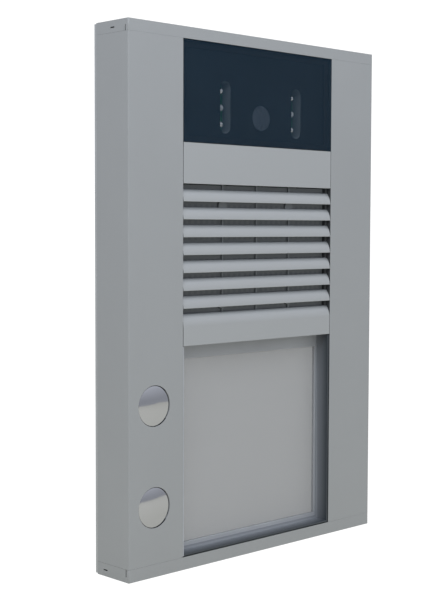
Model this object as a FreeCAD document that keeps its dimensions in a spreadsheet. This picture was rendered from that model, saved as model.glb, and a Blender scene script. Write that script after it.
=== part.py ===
import FreeCAD, Part
import os
import re

import Sketcher

# A surface-mounted door intercom panel. Two aluminium side profiles and two end caps
# frame a centre column with three modules: a camera behind a smoked window, a louvred
# speaker grille, and a recessed, backlit name plate. Two call buttons sit in the left
# profile. Everything stands on a base plate that is screwed to the wall.
#
# Frame: +X points right and +Z up, seen from the front. The wall face is y = 0 and the
# front face is y = -panel_depth. A depth is counted from the front face towards the wall.

# Driving sizes, in millimetres and degrees.
SIZES = {
    # outline and frame
    "panel_width": 160.6,
    "panel_height": 240.0,
    "panel_depth": 23.0,
    "side_strip": 31.2,
    "profile_wall": 2.0,
    "lip_depth": 9.5,
    "edge_round": 0.6,
    "port_size": 5.2,
    "top_cap_height": 5.2,
    "bottom_cap_height": 5.7,
    "cap_wall": 1.5,
    "pillar_radius": 2.5,
    "slit_width": 0.6,
    "top_slit_height": 2.4,
    "bottom_slit_height": 3.2,
    "slit_depth": 1.6,
    "latch_length": 2.8,
    "latch_height": 0.5,
    "top_latch_rise": 2.2,
    "bottom_latch_rise": 2.9,
    "top_latch_depth": 10.5,
    "bottom_latch_depth": 15.9,
    "base_thickness": 1.5,
    "base_inset": 0.3,
    "boss_height": 3.0,
    "boss_radius": 3.3,
    "wall_hole_radius": 2.25,
    "wall_hole_side_inset": 18.3,
    "wall_hole_end_inset": 24.0,
    "box_hole_spacing": 60.0,
    "box_hole_rise": 48.15,
    "hook_width": 16.0,
    "hook_thickness": 1.5,
    "hook_offset": 34.0,
    "hook_reach": 9.0,
    "lug_width": 16.0,
    "lug_thickness": 2.4,
    # clearances and fits
    "seam_gap": 0.25,
    "part_gap": 0.3,
    "stop_gap": 0.05,
    "running_gap": 0.05,
    "thread_gap": 0.05,
    # screws
    "cap_screw_radius": 1.3,
    "cap_screw_head": 2.2,
    "cap_screw_head_height": 1.4,
    "cap_screw_grip": 8.0,
    "module_screw_radius": 1.25,
    "module_screw_head": 2.4,
    "module_screw_head_height": 1.4,
    "module_screw_grip": 2.4,
    "small_screw_radius": 1.0,
    "small_screw_head": 1.9,
    "small_screw_head_height": 1.2,
    "lock_screw_radius": 1.5,
    "lock_screw_head": 2.9,
    # camera module
    "window_height": 45.0,
    "window_thickness": 2.0,
    "gasket_thickness": 0.5,
    "gasket_width": 3.0,
    "bezel_thickness": 1.5,
    "module_wall": 1.5,
    "camera_offset": 2.5,
    "camera_rise": 13.5,
    "camera_centre_depth": 13.0,
    "camera_hole_radius": 6.0,
    "body_width": 13.0,
    "body_depth": 8.0,
    "pivot_radius": 1.0,
    "barrel_radius": 5.2,
    "barrel_length": 2.9,
    "glass_radius": 4.4,
    "glass_depth": 2.2,
    "shield_sink": 0.2,
    "shield_thickness": 0.8,
    "sensor_width": 12.0,
    "sensor_thickness": 1.0,
    "yoke_side_gap": 0.4,
    "yoke_end_gap": 1.2,
    "yoke_wall": 2.0,
    "yoke_depth": 5.0,
    "pan_pin_radius": 1.2,
    "cradle_side_gap": 0.8,
    "cradle_wall": 1.5,
    "cradle_depth": 12.0,
    "ear_width": 4.6,
    "ear_thickness": 2.0,
    "led_offset": 23.6,
    "led_rise": 17.0,
    "led_slot_width": 6.4,
    "led_slot_height": 23.5,
    "led_shade_wall": 0.9,
    "led_shade_depth": 3.9,
    "led_radius": 1.5,
    "led_height": 3.4,
    "led_pitch": 7.6,
    "led_board_width": 10.0,
    "led_board_height": 27.0,
    "board_thickness": 1.2,
    # speaker module
    "grille_height": 89.7,
    "grille_thickness": 2.2,
    "grille_band": 18.0,
    "slot_height": 2.5,
    "louvre_pitch": 7.88,
    "louvre_count": 8,
    "slat_thickness": 1.2,
    "rib_width": 1.0,
    "rib_front": 3.0,
    "rib_back": 3.7,
    "mesh_thickness": 0.3,
    "speaker_radius": 28.5,
    "speaker_drop": 49.6,
    "speaker_rim": 3.5,
    "speaker_gasket_thickness": 1.0,
    "flange_thickness": 1.0,
    "basket_depth": 6.0,
    "basket_wall": 0.8,
    "cone_thickness": 0.4,
    "cone_depth": 4.0,
    "cone_ledge": 1.0,
    "dome_radius": 7.0,
    "magnet_radius": 14.0,
    "magnet_height": 5.2,
    "speaker_post_radius": 2.6,
    "speaker_post_offset": 2.7,
    "screw_bite": 1.0,
    "mic_radius": 3.0,
    "mic_height": 2.6,
    "mic_boot_wall": 1.2,
    "mic_boot_floor": 1.0,
    "mic_inset": 9.0,
    "mic_rise": 18.0,
    # main board
    "main_board_thickness": 1.6,
    "main_board_inset": 6.0,
    "chip_size": 10.0,
    "chip_height": 1.6,
    "chip_inset": 16.0,
    "relay_width": 9.0,
    "relay_length": 15.0,
    "relay_height": 4.5,
    "relay_rise": 26.0,
    "capacitor_radius": 2.5,
    "capacitor_height": 5.5,
    "capacitor_inset": 11.0,
    "standoff_height": 1.5,
    "standoff_radius": 2.6,
    "standoff_inset": 3.6,
    "terminal_length": 30.0,
    "terminal_height": 8.0,
    "terminal_depth": 7.0,
    "terminal_count": 6,
    "terminal_inset": 1.0,
    "terminal_screw_radius": 1.5,
    "terminal_screw_height": 1.0,
    "cable_radius": 4.0,
    "grommet_wall": 1.5,
    "grommet_lip": 1.6,
    "grommet_lip_thickness": 1.2,
    "cable_inset": 15.95,
    # name-plate module
    "name_recess": 7.5,
    "name_frame_thickness": 1.8,
    "name_collar_front": 0.4,
    "name_collar_wall": 0.8,
    "name_side_margin": 2.4,
    "name_top_margin": 6.3,
    "name_bottom_margin": 4.0,
    "cover_sink": 0.5,
    "cover_thickness": 1.0,
    "card_thickness": 0.3,
    "diffuser_thickness": 1.5,
    "backlight_gap": 3.6,
    "backlight_led_size": 3.0,
    "backlight_led_height": 1.0,
    "backlight_columns": 3,
    "backlight_rows": 2,
    # call buttons
    "button_radius": 8.8,
    "button_gap": 0.2,
    "button_inset": 14.5,
    "upper_button_rise": 75.2,
    "lower_button_rise": 30.7,
    "button_edge_sink": 0.4,
    "button_crown": 1.1,
    "button_travel": 1.2,
    "flange_radius": 10.0,
    "button_flange": 1.2,
    "stem_radius": 2.5,
    "guide_wall": 0.9,
    "guide_floor": 8.8,
    "guide_floor_thickness": 1.2,
    "spring_radius": 6.0,
    "spring_wire": 0.35,
    "spring_turns": 4,
    "switch_size": 6.0,
    "switch_body_height": 3.4,
    "plunger_radius": 1.7,
    "plunger_height": 0.8,
    "button_board_margin": 12.0,
    "button_board_depth": 15.8,
}

# Places that follow from the sizes. The word "depth" in a name means a depth from the front.
LAYOUT = {
    "left": "-panel_width / 2",
    "right": "panel_width / 2",
    "bottom": "-panel_height / 2",
    "top": "panel_height / 2",
    "opening_left": "left + side_strip",
    "opening_right": "right - side_strip",
    "module_left": "opening_left + seam_gap",
    "module_right": "opening_right - seam_gap",
    "module_middle": "(opening_left + opening_right) / 2",
    "column_bottom": "bottom + bottom_cap_height",
    "column_top": "top - top_cap_height",
    "wall_hole_x": "right - wall_hole_side_inset",
    "wall_hole_z": "top - wall_hole_end_inset",
    "box_hole_z": "name_low + box_hole_rise",
    "base_front": "panel_depth - base_thickness",
    "boss_front": "base_front - boss_height",
    "lock_depth": "base_front - hook_reach + lug_width / 4",
    "cap_back": "base_front - 2 * stop_gap",
    "port_left": "opening_left - port_size / 2",
    "port_right": "opening_right + port_size / 2",
    "port_depth": "lip_depth + port_size / 2",
    "side_port_left": "left + profile_wall + port_size / 2",
    "side_port_right": "right - profile_wall - port_size / 2",
    "side_port_depth": "base_front - 2 * stop_gap - port_size / 2",
    "boss_margin": "module_wall + part_gap + boss_radius",
    "post_radius": "boss_radius + 2 * part_gap",
    "post_left": "module_left + boss_margin",
    "post_right": "module_right - boss_margin",
    # camera module
    "window_bottom": "column_top - window_height",
    "camera_low": "window_bottom + seam_gap",
    "camera_high": "column_top - seam_gap",
    "bezel_front": "window_thickness + gasket_thickness",
    "bezel_back": "bezel_front + bezel_thickness",
    "camera_x": "module_middle + camera_offset",
    "camera_z": "window_bottom + camera_rise",
    "camera_depth": "camera_centre_depth",
    "body_front": "camera_depth - body_depth / 2",
    "body_back": "camera_depth + body_depth / 2",
    "barrel_front": "body_front - barrel_length",
    "yoke_inner_x": "body_width / 2 + yoke_side_gap",
    "yoke_inner_z": "body_width / 2 + yoke_end_gap",
    "yoke_outer_x": "yoke_inner_x + yoke_wall",
    "yoke_outer_z": "yoke_inner_z + yoke_wall",
    "yoke_front": "camera_depth - yoke_depth / 2",
    "yoke_back": "camera_depth + yoke_depth / 2",
    "cradle_inner_x": "yoke_outer_x + cradle_side_gap",
    "cradle_inner_z": "yoke_outer_z + part_gap",
    "cradle_outer_x": "cradle_inner_x + cradle_wall",
    "cradle_outer_z": "cradle_inner_z + cradle_wall",
    "cradle_back": "bezel_back + cradle_depth",
    "led_z": "window_bottom + led_rise",
    "led_board_front": "bezel_back + led_shade_depth",
    # speaker module
    "grille_top": "window_bottom",
    "grille_bottom": "window_bottom - grille_height",
    "louvre_top": "grille_top - grille_band",
    "louvre_bottom": "louvre_top - louvre_count * louvre_pitch",
    "speaker_z": "grille_top - speaker_drop",
    "mesh_back": "rib_back + mesh_thickness",
    "flange_front": "mesh_back + speaker_gasket_thickness",
    "flange_back": "flange_front + flange_thickness",
    "basket_back": "flange_back + basket_depth",
    "magnet_back": "basket_back + magnet_height",
    "speaker_screw_head": "speaker_post_offset + screw_bite",
    "speaker_post": "(speaker_radius + speaker_post_offset) * 0.70711",
    "main_board_back": "base_front - standoff_height",
    "main_board_front": "main_board_back - main_board_thickness",
    "main_board_low": "grille_bottom + main_board_inset",
    "main_board_high": "grille_top - main_board_inset",
    "main_board_left": "post_left + post_radius + part_gap",
    "main_board_right": "post_right - post_radius - part_gap",
    "terminal_front": "main_board_front - terminal_depth",
    "terminal_pitch": "terminal_length / terminal_count",
    "mic_x": "module_right - mic_inset",
    "mic_z": "grille_bottom + mic_rise",
    "cable_z": "name_high - cable_inset",
    "grommet_radius": "cable_radius + grommet_wall",
    # name-plate module
    "name_high": "grille_bottom - seam_gap",
    "name_low": "column_bottom + seam_gap",
    "name_back": "name_recess + name_frame_thickness",
    "card_left": "module_left + name_side_margin",
    "card_right": "module_right - name_side_margin",
    "card_low": "name_low + name_bottom_margin",
    "card_high": "name_high - name_top_margin",
    "cover_front": "name_recess + cover_sink",
    "cover_back": "cover_front + cover_thickness",
    "diffuser_back": "name_back + diffuser_thickness",
    "backlight_front": "diffuser_back + backlight_gap",
    "backlight_back": "backlight_front + board_thickness",
    # call buttons
    "button_x": "left + button_inset",
    "upper_button_z": "bottom + upper_button_rise",
    "lower_button_z": "bottom + lower_button_rise",
    "button_flange_front": "profile_wall + stop_gap",
    "button_flange_back": "button_flange_front + button_flange",
    "guide_bore": "flange_radius + part_gap",
    "guide_radius": "guide_bore + guide_wall",
    "guide_back": "guide_floor + guide_floor_thickness",
    "crown_front": "button_edge_sink - button_crown",
    "band_back": "grille_thickness + slat_thickness",
    "slat_rise": "louvre_pitch - slot_height",
    "slat_curve": "(grille_thickness * grille_thickness + slat_rise * slat_rise) / (2 * grille_thickness)",
    "dome_ball": "(button_radius * button_radius + button_crown * button_crown) / (2 * button_crown)",
    "switch_front": "button_board_depth - switch_body_height",
    "stem_end": "switch_front - plunger_height - button_travel - 2 * stop_gap",
    "button_board_back": "button_board_depth + board_thickness",
    "button_board_left": "left + profile_wall + port_size + part_gap",
    "button_board_right": "2 * button_x - button_board_left",
    "button_board_low": "lower_button_z - button_board_margin",
    "button_board_high": "upper_button_z + button_board_margin",
}

ALONG = {
    "x": FreeCAD.Rotation(FreeCAD.Vector(0, 1, 0), 90),
    "y": FreeCAD.Rotation(FreeCAD.Vector(1, 0, 0), -90),
    "z": FreeCAD.Rotation(),
}
TOLERANCE = 1e-4

doc = FreeCAD.newDocument("IntercomPanel")
sheet = doc.addObject("Spreadsheet::Sheet", "Sizes")
for row, (name, size) in enumerate(SIZES.items(), start=1):
    sheet.set(f"A{row}", name)
    sheet.set(f"B{row}", str(size))
    sheet.setAlias(f"B{row}", name)
doc.recompute()

nodes = []


# ---- Expressions ---------------------------------------------------------------------


def formula(text):
    """Return an expression whose names stand for sheet cells or for layout lines."""

    def named(match):
        word = match.group()
        if word in LAYOUT:
            return "(" + formula(LAYOUT[word]) + ")"
        return "Sizes." + word if word in SIZES else word

    return re.sub(r"[a-z][a-z0-9_]*", named, text)


def value(text):
    """Return the number that an expression has now."""
    return float(sheet.evalExpression(formula(text)))


def bind(thing, **settings):
    """Tie properties of an object to expressions."""
    for prop, text in settings.items():
        thing.setExpression(prop, formula(text))


def at_depth(depth):
    """Return the expression of the Y coordinate at a depth from the front face."""
    return f"({depth}) - panel_depth"


def place(thing, x, depth, z):
    """Tie an object's place to expressions."""
    thing.setExpression("Placement.Base.x", formula(x))
    thing.setExpression("Placement.Base.y", formula(at_depth(depth)))
    thing.setExpression("Placement.Base.z", formula(z))


# ---- Part primitives and booleans ------------------------------------------------------


def block(name, across, deep, high):
    """Add a box between two X, two depths and two Z."""
    box = doc.addObject("Part::Box", name)
    bind(
        box,
        Length=f"({across[1]}) - ({across[0]})",
        Width=f"({deep[1]}) - ({deep[0]})",
        Height=f"({high[1]}) - ({high[0]})",
    )
    place(box, across[0], deep[0], high[0])
    return box


def start_of(axis, at, start):
    """Return x, depth and z of a rod's start, from its other two coordinates."""
    if axis == "x":
        return start, at[0], at[1]
    if axis == "y":
        return at[0], start, at[1]
    return at[0], at[1], start


def rod(name, axis, at, ends, radius):
    """Add a cylinder along an axis, between two places on it."""
    cylinder = doc.addObject("Part::Cylinder", name)
    cylinder.Placement = FreeCAD.Placement(FreeCAD.Vector(), ALONG[axis])
    bind(cylinder, Radius=radius, Height=f"({ends[1]}) - ({ends[0]})")
    place(cylinder, *start_of(axis, at, ends[0]))
    return cylinder


def taper(name, axis, at, ends, radii):
    """Add a cone frustum along an axis, between two places on it."""
    cone = doc.addObject("Part::Cone", name)
    cone.Placement = FreeCAD.Placement(FreeCAD.Vector(), ALONG[axis])
    bind(cone, Radius1=radii[0], Radius2=radii[1], Height=f"({ends[1]}) - ({ends[0]})")
    place(cone, *start_of(axis, at, ends[0]))
    return cone


def ball(name, at, radius):
    """Add a whole ball."""
    sphere = doc.addObject("Part::Sphere", name)
    bind(sphere, Radius=radius)
    place(sphere, *at)
    return sphere


def fused(name, pieces):
    """Join touching pieces into one."""
    joined = doc.addObject("Part::MultiFuse", name)
    joined.Shapes = pieces
    return joined


def grouped(name, pieces):
    """Hold separate pieces in one group."""
    group = doc.addObject("Part::Compound", name)
    group.Links = pieces
    return group


def cut(name, base, tools):
    """Take the tools away from the base."""
    result = doc.addObject("Part::Cut", name)
    result.Base = base
    result.Tool = tools[0] if len(tools) == 1 else fused(name + "_tools", tools)
    return result


def keep(thing, label):
    """Name an object as one sub-part of the panel."""
    thing.Label = label
    nodes.append(thing)
    return thing


def slot(name, at, deep, width, height):
    """Add an upright slot with round ends, as a solid to cut with or to cut from."""
    x, z = at
    reach = f"(({height}) - ({width})) / 2"
    middle = block(
        name + "_middle",
        (f"({x}) - ({width}) / 2", f"({x}) + ({width}) / 2"),
        deep,
        (f"({z}) - {reach}", f"({z}) + {reach}"),
    )
    ends = [
        rod(f"{name}_end_{number}", "y", (x, f"({z}) {sign} {reach}"), deep, f"({width}) / 2")
        for number, sign in enumerate("+-")
    ]
    return fused(name, [middle, *ends])


def screw_y(name, at, seat, tip, shank, head, head_height, towards="front"):
    """Add a pan-head screw along Y whose head stands off its seat, towards front or wall."""
    if towards == "front":
        top = rod(name + "_head", "y", at, (f"({seat}) - {head_height}", seat), head)
        stem = rod(name + "_shank", "y", at, (seat, tip), shank)
    else:
        top = rod(name + "_head", "y", at, (seat, f"({seat}) + {head_height}"), head)
        stem = rod(name + "_shank", "y", at, (tip, seat), shank)
    return fused(name, [top, stem])


# ---- Sketched bodies -------------------------------------------------------------------


def new_body(name):
    """Add an empty PartDesign body."""
    return doc.addObject("PartDesign::Body", name)


def sketch_on(body, name, plane, offset="0"):
    """Add a sketch on one of the body's own planes, moved along the plane's normal."""
    sketch = body.newObject("Sketcher::SketchObject", name)
    support = [feature for feature in body.Origin.OriginFeatures if feature.Role == plane][0]
    sketch.AttachmentSupport = (support, [""])
    sketch.MapMode = "FlatFace"
    sketch.setExpression("AttachmentOffset.Base.z", formula(offset))
    return sketch


def lock(sketch, geometry, point, x, y):
    """Fix a point of a sketch at two expressions."""
    for kind, text in (("DistanceX", x), ("DistanceY", y)):
        number = sketch.addConstraint(
            Sketcher.Constraint(kind, -1, 1, geometry, point, value(text))
        )
        sketch.setExpression(f"Constraints[{number}]", formula(text))


def left_arc(start, end, radius):
    """Return the short arc that turns left from one point to another."""
    chord = end - start
    middle = (start + end) * 0.5
    rise = (radius**2 - (chord.Length / 2) ** 2) ** 0.5
    towards = FreeCAD.Vector(-chord.y, chord.x, 0).normalize()
    centre = middle + towards * rise
    return Part.Arc(start, centre - towards * radius, end)


def polygon(sketch, corners, arcs=None):
    """Draw a closed outline through corners; arcs gives the radius of each round side."""
    arcs = arcs or {}
    spots = [FreeCAD.Vector(value(x), value(y), 0) for x, y in corners]
    first = sketch.GeometryCount
    count = len(corners)
    for number in range(count):
        start, end = spots[number], spots[(number + 1) % count]
        if number in arcs:
            sketch.addGeometry(left_arc(start, end, value(arcs[number])), False)
        else:
            sketch.addGeometry(Part.LineSegment(start, end), False)
    for number in range(count):
        following = first + (number + 1) % count
        sketch.addConstraint(Sketcher.Constraint("Coincident", first + number, 2, following, 1))
    for number, (x, y) in enumerate(corners):
        lock(sketch, first + number, 1, x, y)
    for number, radius in arcs.items():
        size = sketch.addConstraint(
            Sketcher.Constraint("Radius", first + number, value(radius))
        )
        sketch.setExpression(f"Constraints[{size}]", formula(radius))


def rectangle(sketch, across, up):
    """Draw a rectangle between two horizontal and two vertical places."""
    low, high = up
    polygon(sketch, [(across[0], low), (across[1], low), (across[1], high), (across[0], high)])


def circle(sketch, x, y, radius):
    """Draw a circle."""
    centre = FreeCAD.Vector(value(x), value(y), 0)
    number = sketch.addGeometry(
        Part.Circle(centre, FreeCAD.Vector(0, 0, 1), value(radius)), False
    )
    lock(sketch, number, 3, x, y)
    size = sketch.addConstraint(Sketcher.Constraint("Radius", number, value(radius)))
    sketch.setExpression(f"Constraints[{size}]", formula(radius))


def pad(body, name, sketch, length, reverse=False):
    """Raise a sketch into the body."""
    feature = body.newObject("PartDesign::Pad", name)
    feature.Profile = sketch
    feature.Reversed = reverse
    bind(feature, Length=length)
    body.Tip = feature
    return feature


def pocket(body, name, sketch, length, reverse=False):
    """Sink a sketch into the body, and see that it takes something away."""
    doc.recompute()
    before = body.Shape.Volume
    feature = body.newObject("PartDesign::Pocket", name)
    feature.Profile = sketch
    feature.Reversed = reverse
    bind(feature, Length=length)
    body.Tip = feature
    doc.recompute()
    if body.Shape.Volume > before - TOLERANCE:
        raise RuntimeError(f"{name} cuts nothing")
    return feature


def revolved(name, corners, x, depth, z, arcs=None):
    """Turn a half-section of (radius, depth) corners about the Y direction at a place."""
    body = new_body(name)
    sketch = sketch_on(body, name + "_section", "XY_Plane")
    polygon(sketch, corners, arcs)
    feature = body.newObject("PartDesign::Revolution", name + "_turned")
    feature.Profile = sketch
    feature.ReferenceAxis = (sketch, ["V_Axis"])
    feature.Angle = 360.0
    body.Tip = feature
    place(body, x, depth, z)
    return body


def upright_edges(shape, x, y):
    """Return the names of the shape's straight edges that stand at an X and Y."""
    names = []
    for number, edge in enumerate(shape.Edges, start=1):
        if all(
            abs(vertex.X - x) < TOLERANCE and abs(vertex.Y - y) < TOLERANCE
            for vertex in edge.Vertexes
        ):
            names.append(f"Edge{number}")
    return names


def round_corner(body, name, feature, x, y, radius):
    """Round the body's upright edge at an X and Y."""
    doc.recompute()
    fillet = body.newObject("PartDesign::Fillet", name)
    fillet.Base = (feature, upright_edges(feature.Shape, value(x), value(y)))
    bind(fillet, Radius=radius)
    body.Tip = fillet
    return fillet


# ---- Side profiles ----------------------------------------------------------------------


def profile(side):
    """Make one extruded side profile: side wall, front strip, lip and two screw ports."""
    inward = "+" if side == "left" else "-"
    outward = "-" if side == "left" else "+"
    outer = side
    opening = f"opening_{side}"
    body = new_body(f"{side}_profile")
    section = sketch_on(body, f"{side}_section", "XY_Plane", "column_bottom")
    inner_wall = f"{outer} {inward} profile_wall"
    side_port = f"{outer} {inward} profile_wall {inward} port_size"
    rear = "base_front - 2 * stop_gap"
    polygon(
        section,
        [
            (outer, at_depth("0")),
            (opening, at_depth("0")),
            (opening, at_depth("lip_depth + port_size")),
            (f"{opening} {outward} port_size", at_depth("lip_depth + port_size")),
            (f"{opening} {outward} port_size", at_depth("lip_depth")),
            (f"{opening} {outward} profile_wall", at_depth("lip_depth")),
            (f"{opening} {outward} profile_wall", at_depth("profile_wall")),
            (inner_wall, at_depth("profile_wall")),
            (inner_wall, at_depth(f"{rear} - port_size")),
            (side_port, at_depth(f"{rear} - port_size")),
            (side_port, at_depth(rear)),
            (outer, at_depth(rear)),
        ],
    )
    for port, depth in (("port", "port_depth"), ("side_port", "side_port_depth")):
        circle(section, f"{port}_{side}", at_depth(depth), "cap_screw_radius + thread_gap")
    raised = pad(body, f"{side}_extrusion", section, "column_top - column_bottom")
    round_corner(body, f"{side}_edge", raised, outer, at_depth("0"), "edge_round")
    if side == "left":
        holes = sketch_on(body, "button_holes", "XZ_Plane", "panel_depth")
        for level in ("upper", "lower"):
            circle(holes, "button_x", f"{level}_button_z", "button_radius + button_gap")
        pocket(body, "button_hole_cuts", holes, "profile_wall + part_gap")
    return keep(body, f"{side}_profile")


# ---- End caps -----------------------------------------------------------------------------

PORTS = [
    ("port_left", "port_depth"),
    ("port_right", "port_depth"),
    ("side_port_left", "side_port_depth"),
    ("side_port_right", "side_port_depth"),
]


def end_cap(end):
    """Make one end cap: a shallow tray with screw pillars, corner slits and latch windows."""
    is_top = end == "top"
    seam = "column_top" if is_top else "column_bottom"
    face = "top" if is_top else "bottom"
    inward = "-" if is_top else "+"
    plate = f"{face} {inward} cap_wall"
    low, high = (seam, face) if is_top else (face, seam)

    body = new_body(f"{end}_cap_blank")
    outline = sketch_on(body, f"{end}_cap_outline", "XY_Plane", low)
    rectangle(outline, ("left", "right"), (at_depth("0"), at_depth("cap_back")))
    raised = pad(body, f"{end}_cap_raised", outline, f"({high}) - ({low})")
    edge = round_corner(
        body, f"{end}_cap_left_edge", raised, "left", at_depth("0"), "edge_round"
    )
    round_corner(body, f"{end}_cap_right_edge", edge, "right", at_depth("0"), "edge_round")

    hollow = block(
        f"{end}_cap_hollow",
        ("left + cap_wall", "right - cap_wall"),
        ("cap_wall", "cap_back + part_gap"),
        (seam, plate) if is_top else (plate, seam),
    )
    tools = [hollow]
    mark = f"{seam} {'+' if is_top else '-'} {end}_latch_rise"
    latch = f"{end}_latch_depth"
    for side, wall in (("left", ("left", "left + cap_wall")),
                       ("right", ("right - cap_wall", "right"))):
        slit_end = f"{seam} {'+' if is_top else '-'} {end}_slit_height"
        tools.append(
            block(
                f"{end}_cap_{side}_slit",
                wall,
                ("slit_depth", "slit_depth + slit_width"),
                (seam, slit_end) if is_top else (slit_end, seam),
            )
        )
        tools.append(
            block(
                f"{end}_cap_{side}_latch",
                wall,
                (f"{latch} - latch_length / 2", f"{latch} + latch_length / 2"),
                (f"{mark} - latch_height / 2", f"{mark} + latch_height / 2"),
            )
        )
    tray = cut(f"{end}_cap_tray", body, tools)

    pieces = [tray]
    holes = []
    sunk = f"{face} {inward} cap_screw_head_height {inward} part_gap"
    for number, port in enumerate(PORTS):
        ends = (seam, plate) if is_top else (plate, seam)
        pieces.append(rod(f"{end}_pillar_{number}", "z", port, ends, "pillar_radius"))
        through = (seam, face) if is_top else (face, seam)
        holes.append(
            rod(f"{end}_hole_{number}", "z", port, through, "cap_screw_radius + running_gap")
        )
        deep = (sunk, face) if is_top else (face, sunk)
        holes.append(
            rod(f"{end}_sink_{number}", "z", port, deep, "cap_screw_head + running_gap")
        )
    if not is_top:
        ledge = block(
            "bottom_cap_ledge",
            ("opening_left - profile_wall", "opening_right + profile_wall"),
            ("0 + cap_wall", "name_recess"),
            ("column_bottom - cap_wall", "column_bottom"),
        )
        pieces.append(ledge)
        holes.append(
            taper(
                "lock_sink",
                "z",
                ("module_middle", "lock_depth"),
                ("bottom", "bottom + cap_wall"),
                ("lock_screw_head + running_gap", "lock_screw_radius + running_gap"),
            )
        )
    whole = fused(f"{end}_cap_whole", pieces)
    return keep(cut(f"{end}_cap", whole, holes), f"{end}_cap")


def cap_screws():
    """Make the eight screws that hold the caps to the profiles' ports."""
    screws = []
    for end, inward in (("top", "-"), ("bottom", "+")):
        seat = f"{end} {inward} cap_screw_head_height {inward} part_gap"
        outer = f"{end} {inward} part_gap"
        tip = f"column_{end} {inward} cap_screw_grip"
        for number, port in enumerate(PORTS):
            head_ends = (seat, outer) if end == "top" else (outer, seat)
            shank_ends = (tip, seat) if end == "top" else (seat, tip)
            head = rod(f"{end}_head_{number}", "z", port, head_ends, "cap_screw_head")
            shank = rod(f"{end}_shank_{number}", "z", port, shank_ends, "cap_screw_radius")
            screws.append(fused(f"{end}_screw_{number}", [head, shank]))
    return keep(grouped("cap_screws", screws), "cap_screws")


def locking_screw():
    """Make the countersunk screw that locks the bottom cap to the base plate's lug."""
    at = ("module_middle", "lock_depth")
    head = taper(
        "lock_head",
        "z",
        at,
        ("bottom", "bottom + cap_wall"),
        ("lock_screw_head", "lock_screw_radius"),
    )
    tip = "bottom + cap_wall + stop_gap + lug_thickness"
    shank = rod("lock_shank", "z", at, ("bottom + cap_wall", tip), "lock_screw_radius")
    return keep(fused("locking_screw", [head, shank]), "locking_screw")


# ---- Base plate -----------------------------------------------------------------------------

MODULES = {
    "camera": ("camera_low", "camera_high"),
    "grille": ("grille_bottom", "grille_top"),
    "name": ("name_low", "name_high"),
}


def module_spots():
    """List the four screw places of each of the three modules."""
    spots = []
    for low, high in MODULES.values():
        for x in ("post_left", "post_right"):
            for z in (f"{low} + boss_margin", f"{high} - boss_margin"):
                spots.append((x, z))
    return spots


def board_spots():
    """List the four screw places of the main board."""
    return [
        (f"main_board_{side} {inward} standoff_inset", f"main_board_{end} {up} standoff_inset")
        for side, inward in (("left", "+"), ("right", "-"))
        for end, up in (("low", "+"), ("high", "-"))
    ]


def button_board_spots():
    """List the two screw places of the button board."""
    return [
        ("button_x", "button_board_low + standoff_inset"),
        ("button_x", "(upper_button_z + lower_button_z) / 2"),
        ("button_x", "button_board_high - standoff_inset"),
    ]


def base_plate():
    """Make the wall plate with its bosses, stand-offs, hooks, lug and openings."""
    body = new_body("base_blank")
    outline = sketch_on(body, "base_outline", "XZ_Plane", "0")
    rectangle(
        outline,
        ("left + base_inset", "right - base_inset"),
        ("bottom + base_inset", "top - base_inset"),
    )
    for x in ("-wall_hole_x", "wall_hole_x"):
        for z in ("-wall_hole_z", "wall_hole_z"):
            circle(outline, x, z, "wall_hole_radius")
    for sign in "-+":
        circle(outline, f"0 {sign} box_hole_spacing / 2", "box_hole_z", "wall_hole_radius")
    circle(outline, "module_middle", "cable_z", "grommet_radius + running_gap")
    pad(body, "base_sheet", outline, "base_thickness")

    pieces = [body]
    holes = []
    for number, spot in enumerate(module_spots()):
        pieces.append(
            rod(f"boss_{number}", "y", spot, ("boss_front", "base_front"), "boss_radius")
        )
        holes.append(
            rod(
                f"boss_hole_{number}",
                "y",
                spot,
                ("boss_front", "panel_depth"),
                "module_screw_radius + running_gap",
            )
        )
        holes.append(
            rod(
                f"boss_sink_{number}",
                "y",
                spot,
                ("panel_depth - module_screw_head_height - part_gap", "panel_depth"),
                "module_screw_head + running_gap",
            )
        )
    for number, spot in enumerate(board_spots()):
        pieces.append(
            rod(f"standoff_{number}", "y", spot, ("main_board_back", "base_front"),
                "standoff_radius")
        )
        holes.append(
            rod(f"standoff_hole_{number}", "y", spot, ("main_board_back", "base_front"),
                "small_screw_radius + thread_gap")
        )
    for number, spot in enumerate(button_board_spots()):
        pieces.append(
            rod(f"button_standoff_{number}", "y", spot, ("button_board_back", "base_front"),
                "standoff_radius")
        )
        holes.append(
            rod(f"button_standoff_hole_{number}", "y", spot,
                ("button_board_back", "base_front"), "small_screw_radius + thread_gap")
        )
    hook_high = "top - cap_wall - stop_gap"
    for sign in "-+":
        middle = f"module_middle {sign} hook_offset"
        pieces.append(
            block(
                f"hook_{'left' if sign == '-' else 'right'}",
                (f"{middle} - hook_width / 2", f"{middle} + hook_width / 2"),
                ("base_front - hook_reach", "base_front"),
                (f"{hook_high} - hook_thickness", hook_high),
            )
        )
    lug_low = "bottom + cap_wall + stop_gap"
    pieces.append(
        block(
            "lug",
            ("module_middle - lug_width / 2", "module_middle + lug_width / 2"),
            ("base_front - hook_reach", "base_front"),
            (lug_low, f"{lug_low} + lug_thickness"),
        )
    )
    holes.append(
        rod("lug_hole", "z", ("module_middle", "lock_depth"),
            (lug_low, f"{lug_low} + lug_thickness"), "lock_screw_radius + thread_gap")
    )
    whole = fused("base_whole", pieces)
    return keep(cut("base_plate", whole, holes), "base_plate")


def module_screws():
    """Make the screws that hold the three modules, from behind the base plate."""
    seat = "panel_depth - module_screw_head_height - part_gap"
    screws = [
        screw_y(
            f"module_screw_{number}",
            spot,
            seat,
            "boss_front - module_screw_grip",
            "module_screw_radius",
            "module_screw_head",
            "module_screw_head_height",
            towards="wall",
        )
        for number, spot in enumerate(module_spots())
    ]
    return keep(grouped("module_screws", screws), "module_screws")


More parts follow.
